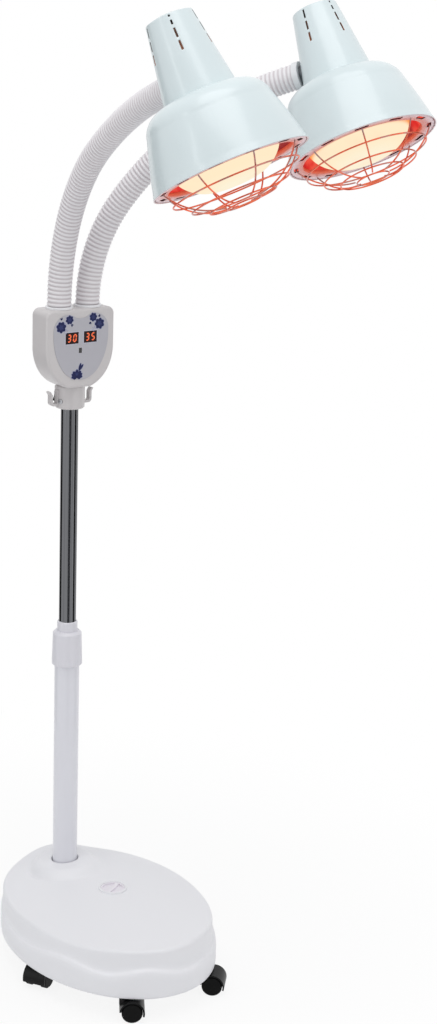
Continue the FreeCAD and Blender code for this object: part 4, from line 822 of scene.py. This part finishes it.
# in millimetres: the lowest slot's height, the gap between two, and each row's lengths going up
vent_start, vent_gap = 129.5, 3.8
long_row, short_row = (10.6, 10.6, 10.6), (10.6, 10.6, 5.3, 2.2)

# in millimetres, three places of (radius, height) on each arc of the shade's profile
skirt_arc = (85.6, 8), (78.6, 35), (70.5, 61)
bulge_arc = (70.5, 61), (62, 76.5), neck_bottom * 1000


def vent_spans(lengths):
    """Lowest and highest height of each slot of one row, in metres."""
    low, spans = vent_start, []
    for length in lengths:
        spans.append((low / 1000, (low + length) / 1000))
        low += length + vent_gap
    return spans


def shade_skin():
    """Shade's outer skin: rim, skirt, bulge, neck with rows at the vents' ends, and dome."""
    rim = np.array([(88, 0), (87.8, 0.6), (87.2, 2.7), (86.3, 5.7)]) / 1000
    skirt, bulge = through(*skirt_arc, 26) / 1000, through(*bulge_arc, 26) / 1000
    edges = np.array(sorted({edge for row in (long_row, short_row) for span in vent_spans(row)
                             for edge in span}))
    heights = np.unique(np.concatenate([np.linspace(neck_bottom[1], neck_top[1], 40), edges]).round(6))
    neck = np.stack([neck_radius(heights), heights], -1)
    dome_radius = (neck_top[0] ** 2 + crown_rise ** 2) / (2 * crown_rise)
    angle = np.linspace(np.arcsin(neck_top[0] / dome_radius), 0, 10)[1:, None]
    dome = np.hstack([dome_radius * np.sin(angle),
                      neck_top[1] + crown_rise - dome_radius * (1 - np.cos(angle))])
    profile = np.vstack([rim, skirt, bulge[1:], neck[1:], dome])
    slots = [(vent_phase + 360 / vent_rows * number, *span) for number in range(vent_rows)
             for span in vent_spans(short_row if number % 2 else long_row)]
    return pierced(profile, 2.5, slots, np.degrees(vent_width / 2 / vent_radius), 1)


shade_enamel = finish("shade_enamel", Coat_Weight=0.4, Coat_Roughness=0.13)
haze = shade_enamel.noise(0.05)
shade_enamel.set(Base_Color=shade_enamel.mix(haze, tint(212, 224, 226), tint(218, 229, 231)),
                 Roughness=shade_enamel.noise(0.02) * 0.08 + 0.28)
shade_enamel.grain(shade_enamel.noise(0.006, 2.0), 0.00005, 0.4)

# inside, from the rim up, mostly painted light and shade: pale pink paint at the rim, painted shadow beside
# the flange, the bulb's painted red glow, darkened here and there, and painted shade darkening up into the
# neck
black = (0.0, 0.0, 0.0, 1.0)
inside = finish("shade_inside", Emission_Strength=1.0)
depth = inside.field("height")
past_rim, past_flange, past_bulb, in_neck = (
    depth.ramp(*edge) for edge in ((0.0022, 0.0032), (0.0070, 0.0085), (0.05, 0.08), (0.126, 0.150)))
blush, painted_shade_patches = inside.noise(0.018), inside.noise(0.045, 1.0)
# painted glow: the shade's inside, which is no lamp, glows red as if in the bulb's light
painted_glow = inside.mix(blush.ramp(0.35, 0.65), tint(204, 34, 34), tint(228, 84, 66))
painted_glow = inside.mix(painted_shade_patches.ramp(0.50, 0.62, 0.0, 0.85), painted_glow, tint(112, 34, 38))
glow_fading_to_shade = inside.mix(in_neck, tint(150, 84, 52), tint(26, 20, 18))
painted_glow = inside.mix(past_bulb, painted_glow, glow_fading_to_shade)
# painted base colour: red as if in the bulb's light, darkened up the neck and beside the flange as painted
# shade
painted_light_and_shade = inside.mix(blush, tint(96, 28, 26), tint(120, 42, 38))
painted_light_and_shade = inside.mix(past_bulb, painted_light_and_shade, tint(20, 15, 13))
painted_light_and_shade = inside.mix(past_flange, tint(24, 12, 12), painted_light_and_shade)
inside.set(Base_Color=inside.mix(past_rim, tint(236, 216, 220), painted_light_and_shade),
           Emission_Color=inside.mix(past_flange, black, painted_glow), Roughness=blush * 0.1 + 0.3)
washer_grey = finish("washer_grey", Metallic=0.9)
washer_grey.set(Base_Color=washer_grey.clouded(0.002, tint(70, 74, 78), tint(104, 108, 112)),
                Roughness=0.35)

boss = lathe(np.array([(6.3, -3.0), (6.3, 2.0), (9.2, 2.0), (9.5, 1.7), (9.5, -3.0)]) / 1000, 48, True)
washer = lathe(np.array([(9.6, -1.6), (9.6, 1.2), (11.5, 1.2), (11.8, 0.9), (11.8, -1.6)]) / 1000, 48, True)
shade = shade_skin()
heads = [(arm.name, head_seat(arm), f"head_{arm.name}") for arm in arms]
for name, seat, body in heads:
    skin = build(f"shade_skin_{name}", [placed(shade, seat)], [shade_enamel, inside], "shade_paint",
                 body, sharp=50.0, thick=0.0012, height=shade[0][..., 2])
    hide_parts(f"shade_{name}")
    build(f"shade_boss_{name}", [placed(boss, boss_seat(seat))], [shade_enamel], "shade_paint", body)
    build(f"neck_washer_{name}", [placed(washer, boss_seat(seat))], [washer_grey], "steel", body)

# two short crimps on the left shade's bulge, just below its neck: ribbons that stand on its arc
crimp_sweep, crimp_middles = 23.0, (104.0, 160.0)
crimp_radii, crimp_lifts = np.array([43.4, 43.6, 44.4, 44.6]), np.array([-0.1, 0.12, 0.12, -0.1])
bulge_line = through(*bulge_arc, 400)[::-1]
crimp_heights = np.interp(crimp_radii, bulge_line[:, 0], bulge_line[:, 1]) + crimp_lifts
crimp_profile = np.stack([crimp_radii, crimp_heights], -1) / 1000
_, left_seat, left_body = heads[0]
for middle in crimp_middles:
    azimuths = np.linspace(middle - crimp_sweep / 2, middle + crimp_sweep / 2, 25)
    ribbon = turned(crimp_profile, np.radians(azimuths))
    build(f"crimp_{int(middle)}", [placed((ribbon, woven(ribbon, closed=False)), left_seat)], [washer_grey],
          "shade_paint", left_body, outward=False)

# ----------------------------
# Trim flange: a ring pressed from thin enamelled sheet and sprung into the shade's rim. It has
# twelve slots that take the guard's hooks, and its inner lip is turned up round the bulb.
slot_count, slot_phase, slot_circle, slot_length = 12, 79.5, 0.0795, 0.016
slot_pitch, slot_inner, slot_outer = 360 / slot_count, 0.0770, 0.0820
flange_radii = np.array([0.0857, 0.0838, slot_outer, slot_circle, slot_inner, 0.0745, 0.0722, 0.0713,
                         0.071, 0.071])
flange_heights = np.array([0.6, 0.6, 0.6, 0.6, 0.6, 0.6, 0.6, 0.9, 1.8, 5.6]) / 1000

# painted light: the flange's front turns orange towards its inner edge, as if in the bulb's glow
flange_white = finish("flange_white", Roughness=0.35)
painted_glow_share = flange_white.field("radius").ramp(0.0725, 0.0850, 1.0, 0.0)
flange_white.set(Base_Color=flange_white.mix(painted_glow_share, tint(238, 214, 220), tint(236, 138, 122)))
# painted shade: the flange's back and its slots' walls are dark so the slots look black, and the lip's top
# edge is painted orange as the bulb's glow
flange_dark = finish("flange_back", Roughness=0.6)
behind = flange_dark.clouded(0.01, tint(40, 14, 12), tint(64, 22, 18))
flange_dark.set(Base_Color=flange_dark.mix(flange_dark.field("radius").ramp(0.0716, 0.0726),
                                           tint(240, 120, 92), behind))

slots = [(slot_phase + slot_pitch * number, slot_inner, slot_outer) for number in range(slot_count)]
flange = pierced(np.stack([flange_radii, flange_heights], -1), 3.0, slots,
                 np.degrees(slot_length / 2 / slot_circle), 0)
flange_radius = flange_radii[:, None] + 0 * flange[0][..., 0]
for name, seat, body in heads:
    ring = build(f"flange_skin_{name}", [placed(flange, seat)], [flange_dark, flange_white], "trim_paint",
                 body, sharp=50.0, thick=-0.0012, rim=0, radius=flange_radius)
    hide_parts(f"trim_ring_{name}")

# ----------------------------
# Bulb: a blown-glass reflector lamp with a frosted face, cemented into a plated screw cap. It
# screws into a glazed ceramic lampholder in the shade's neck.
bulb_face = through((0.0, -10.0), (45.0, -6.4), (62.5, 18.0), 40)
bulb_side = through((62.5, 18.0), (54.4, 40.0), (37.5, 64.0), 20)
bulb_neck = [(17.5, 104.0), (17.5, 114.0), (0.0, 114.0)]
bulb = lathe(np.vstack([bulb_face, bulb_side[1:], bulb_neck]) / 1000, 128)
bulb_cap = lathe(np.array([(0, 114.1), (13.3, 114.1), (13.3, 140.0), (4.0, 144.0), (0, 144.0)]) / 1000, 48)

# warmth: from the face's cream middle, by its radius, to orange and red up its side, by height
face_reach, side_start, side_reach = 0.055, 0.004, 0.013
spread, climb = np.hypot(bulb[0][..., 0], bulb[0][..., 1]), bulb[0][..., 2] - side_start
bulb_warmth = 0.5 * np.clip(spread / face_reach, 0, 1) ** 2 + 0.5 * np.clip(climb / side_reach, 0, 1)

bulb_glow = finish("bulb_glow", Specular_IOR_Level=0.0, Emission_Strength=1.0)
warmth, haze = bulb_glow.field("warmth"), bulb_glow.noise(0.03)
face_glow = bulb_glow.mix(warmth.ramp(0.0, 0.42), tint(251, 242, 216), tint(254, 235, 200))
face_glow = bulb_glow.mix(haze.ramp(0.5, 0.8, 0.0, 0.5), face_glow, tint(255, 222, 190))
face_glow = bulb_glow.mix(warmth.ramp(0.5, 0.72), face_glow, tint(255, 160, 84))
bulb_glow.set(Base_Color=tint(46, 26, 16), Roughness=haze * 0.1 + 0.5,
              Emission_Color=bulb_glow.mix(warmth.ramp(0.72, 0.95), face_glow, tint(206, 40, 34)))
ceramic = moulded("holder_ceramic", tint(232, 226, 214), 0.5, 0.05, 0.01)
for name, seat, body in heads:
    glass = build(f"bulb_glass_{name}", [placed(bulb, seat)], [bulb_glow], "bulb_glass", body,
                  warmth=bulb_warmth)
    build(f"bulb_cap_{name}", [placed(bulb_cap, seat)], [plated], "steel", body)
    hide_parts(f"bulb_{name}")
    dress(ceramic, f"lampholder_{name}")

# ----------------------------
# Wire guard: a basket of plated steel wire, spot welded, that keeps cloth and hands off the
# bulb. Every second spoke is bent to a hook that springs into a slot of the flange.
wire_radius, wire_sides, weld_gap = 0.0009, 10, 0.00002
spoke_arc, arc_points, arc_step = ((79.5, -1.0), (54.0, -25.0), (19.0, -35.0)), 1200, 24
spoke_count, guard_rings = 8, (0.070, 0.054, 0.037, 0.019)
hook_bend, hook_top, hook_tip, plain_end = 0.0022, 0.0028, 0.0742, (0.0797, -0.0003)


def normals(path):
    """Unit normals of a path of (radius, height)."""
    step = np.gradient(path, axis=0)
    step = step / np.linalg.norm(step, axis=1, keepdims=True)
    return np.stack([-step[:, 1], step[:, 0]], -1)


def spoke(path, azimuth):
    """Wire along a path of (radius, height) in the upright plane at an azimuth."""
    angle = np.radians(azimuth)
    plane = np.array([[np.cos(angle), np.sin(angle), 0.0], [0.0, 0.0, 1.0]])
    across = np.array([-np.sin(angle), np.cos(angle), 0.0])
    points = tube(path @ plane, normals(path) @ plane, across, np.full(len(path), wire_radius), wire_sides)
    return points, woven(points)


def guard_wires(phase):
    """Guard: spokes that follow one arc from the flange to the hub, and rings welded to their
    outer side. Every second spoke turns up through a slot and hooks inward."""
    arc = through(*spoke_arc, arc_points) / 1000
    run = arc[arc[:, 0] > guard_rings[-1]][::arc_step][::-1]
    corner = np.radians(np.linspace(0, 90, 6))[1:, None]
    riser = np.array([(slot_circle, 0.0), (slot_circle, hook_top - hook_bend)])
    curl = np.hstack([slot_circle - hook_bend + hook_bend * np.cos(corner),
                      hook_top - hook_bend + hook_bend * np.sin(corner)])
    hooked = np.vstack([run, riser, curl, [(hook_tip, hook_top)]])
    plain = np.vstack([run, [plain_end]])
    parts = [spoke(plain if number % 2 else hooked, phase + 360 / spoke_count * number)
             for number in range(spoke_count)]
    for radius in guard_rings:
        near = np.argmin(np.abs(arc[:, 0] - radius))
        outward = normals(arc)[near]
        spot = arc[near] - outward * np.sign(outward[1]) * (2 * wire_radius + weld_gap)
        parts.append(lathe(spot + wire_radius * circle(wire_sides)[:, :2], 120, closed=True))
    return parts


wire_metal = finish("wire_metal", Metallic=0.8, Emission_Strength=1.0)
wear = wire_metal.noise(0.006, 3.0)
# painted glow: the bulb's light painted onto the wire's colour and emission, broken into clouds
warm_wire = wire_metal.field("warm") * wire_metal.noise(0.022, 1.0).ramp(0.34, 0.48, 0.45, 1.0)
bare_metal_colour = wire_metal.mix(wear, tint(150, 140, 142), tint(182, 176, 178))
warm_colour = wire_metal.mix(wear, tint(222, 92, 62), tint(244, 140, 108))
wire_metal.set(Base_Color=wire_metal.mix(warm_wire, bare_metal_colour, warm_colour),
               Emission_Color=wire_metal.mix(warm_wire, black, tint(70, 20, 10)),
               Roughness=wear * 0.15 + 0.28)

# painted light: the wire is painted orange with a faint painted glow, in clouds all over, as if in the
# bulb's light, and fades to bare metal where it meets the flange
bare_radius, warm_fade = 0.0815, 0.009
for (name, seat, body), phase in zip(heads, (slot_phase, slot_phase + slot_pitch)):
    wires = guard_wires(phase)
    upright = np.concatenate([part[0].reshape(-1, 3) for part in wires])
    warm = np.clip((bare_radius - np.hypot(upright[:, 0], upright[:, 1])) / warm_fade, 0, 1)
    guard = build(f"guard_wires_{name}", [placed(part, seat) for part in wires], [wire_metal], "guard_wire",
                  body, warm=warm)
    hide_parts(f"guard_{name}")

bpy.context.view_layer.update()
low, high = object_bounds()
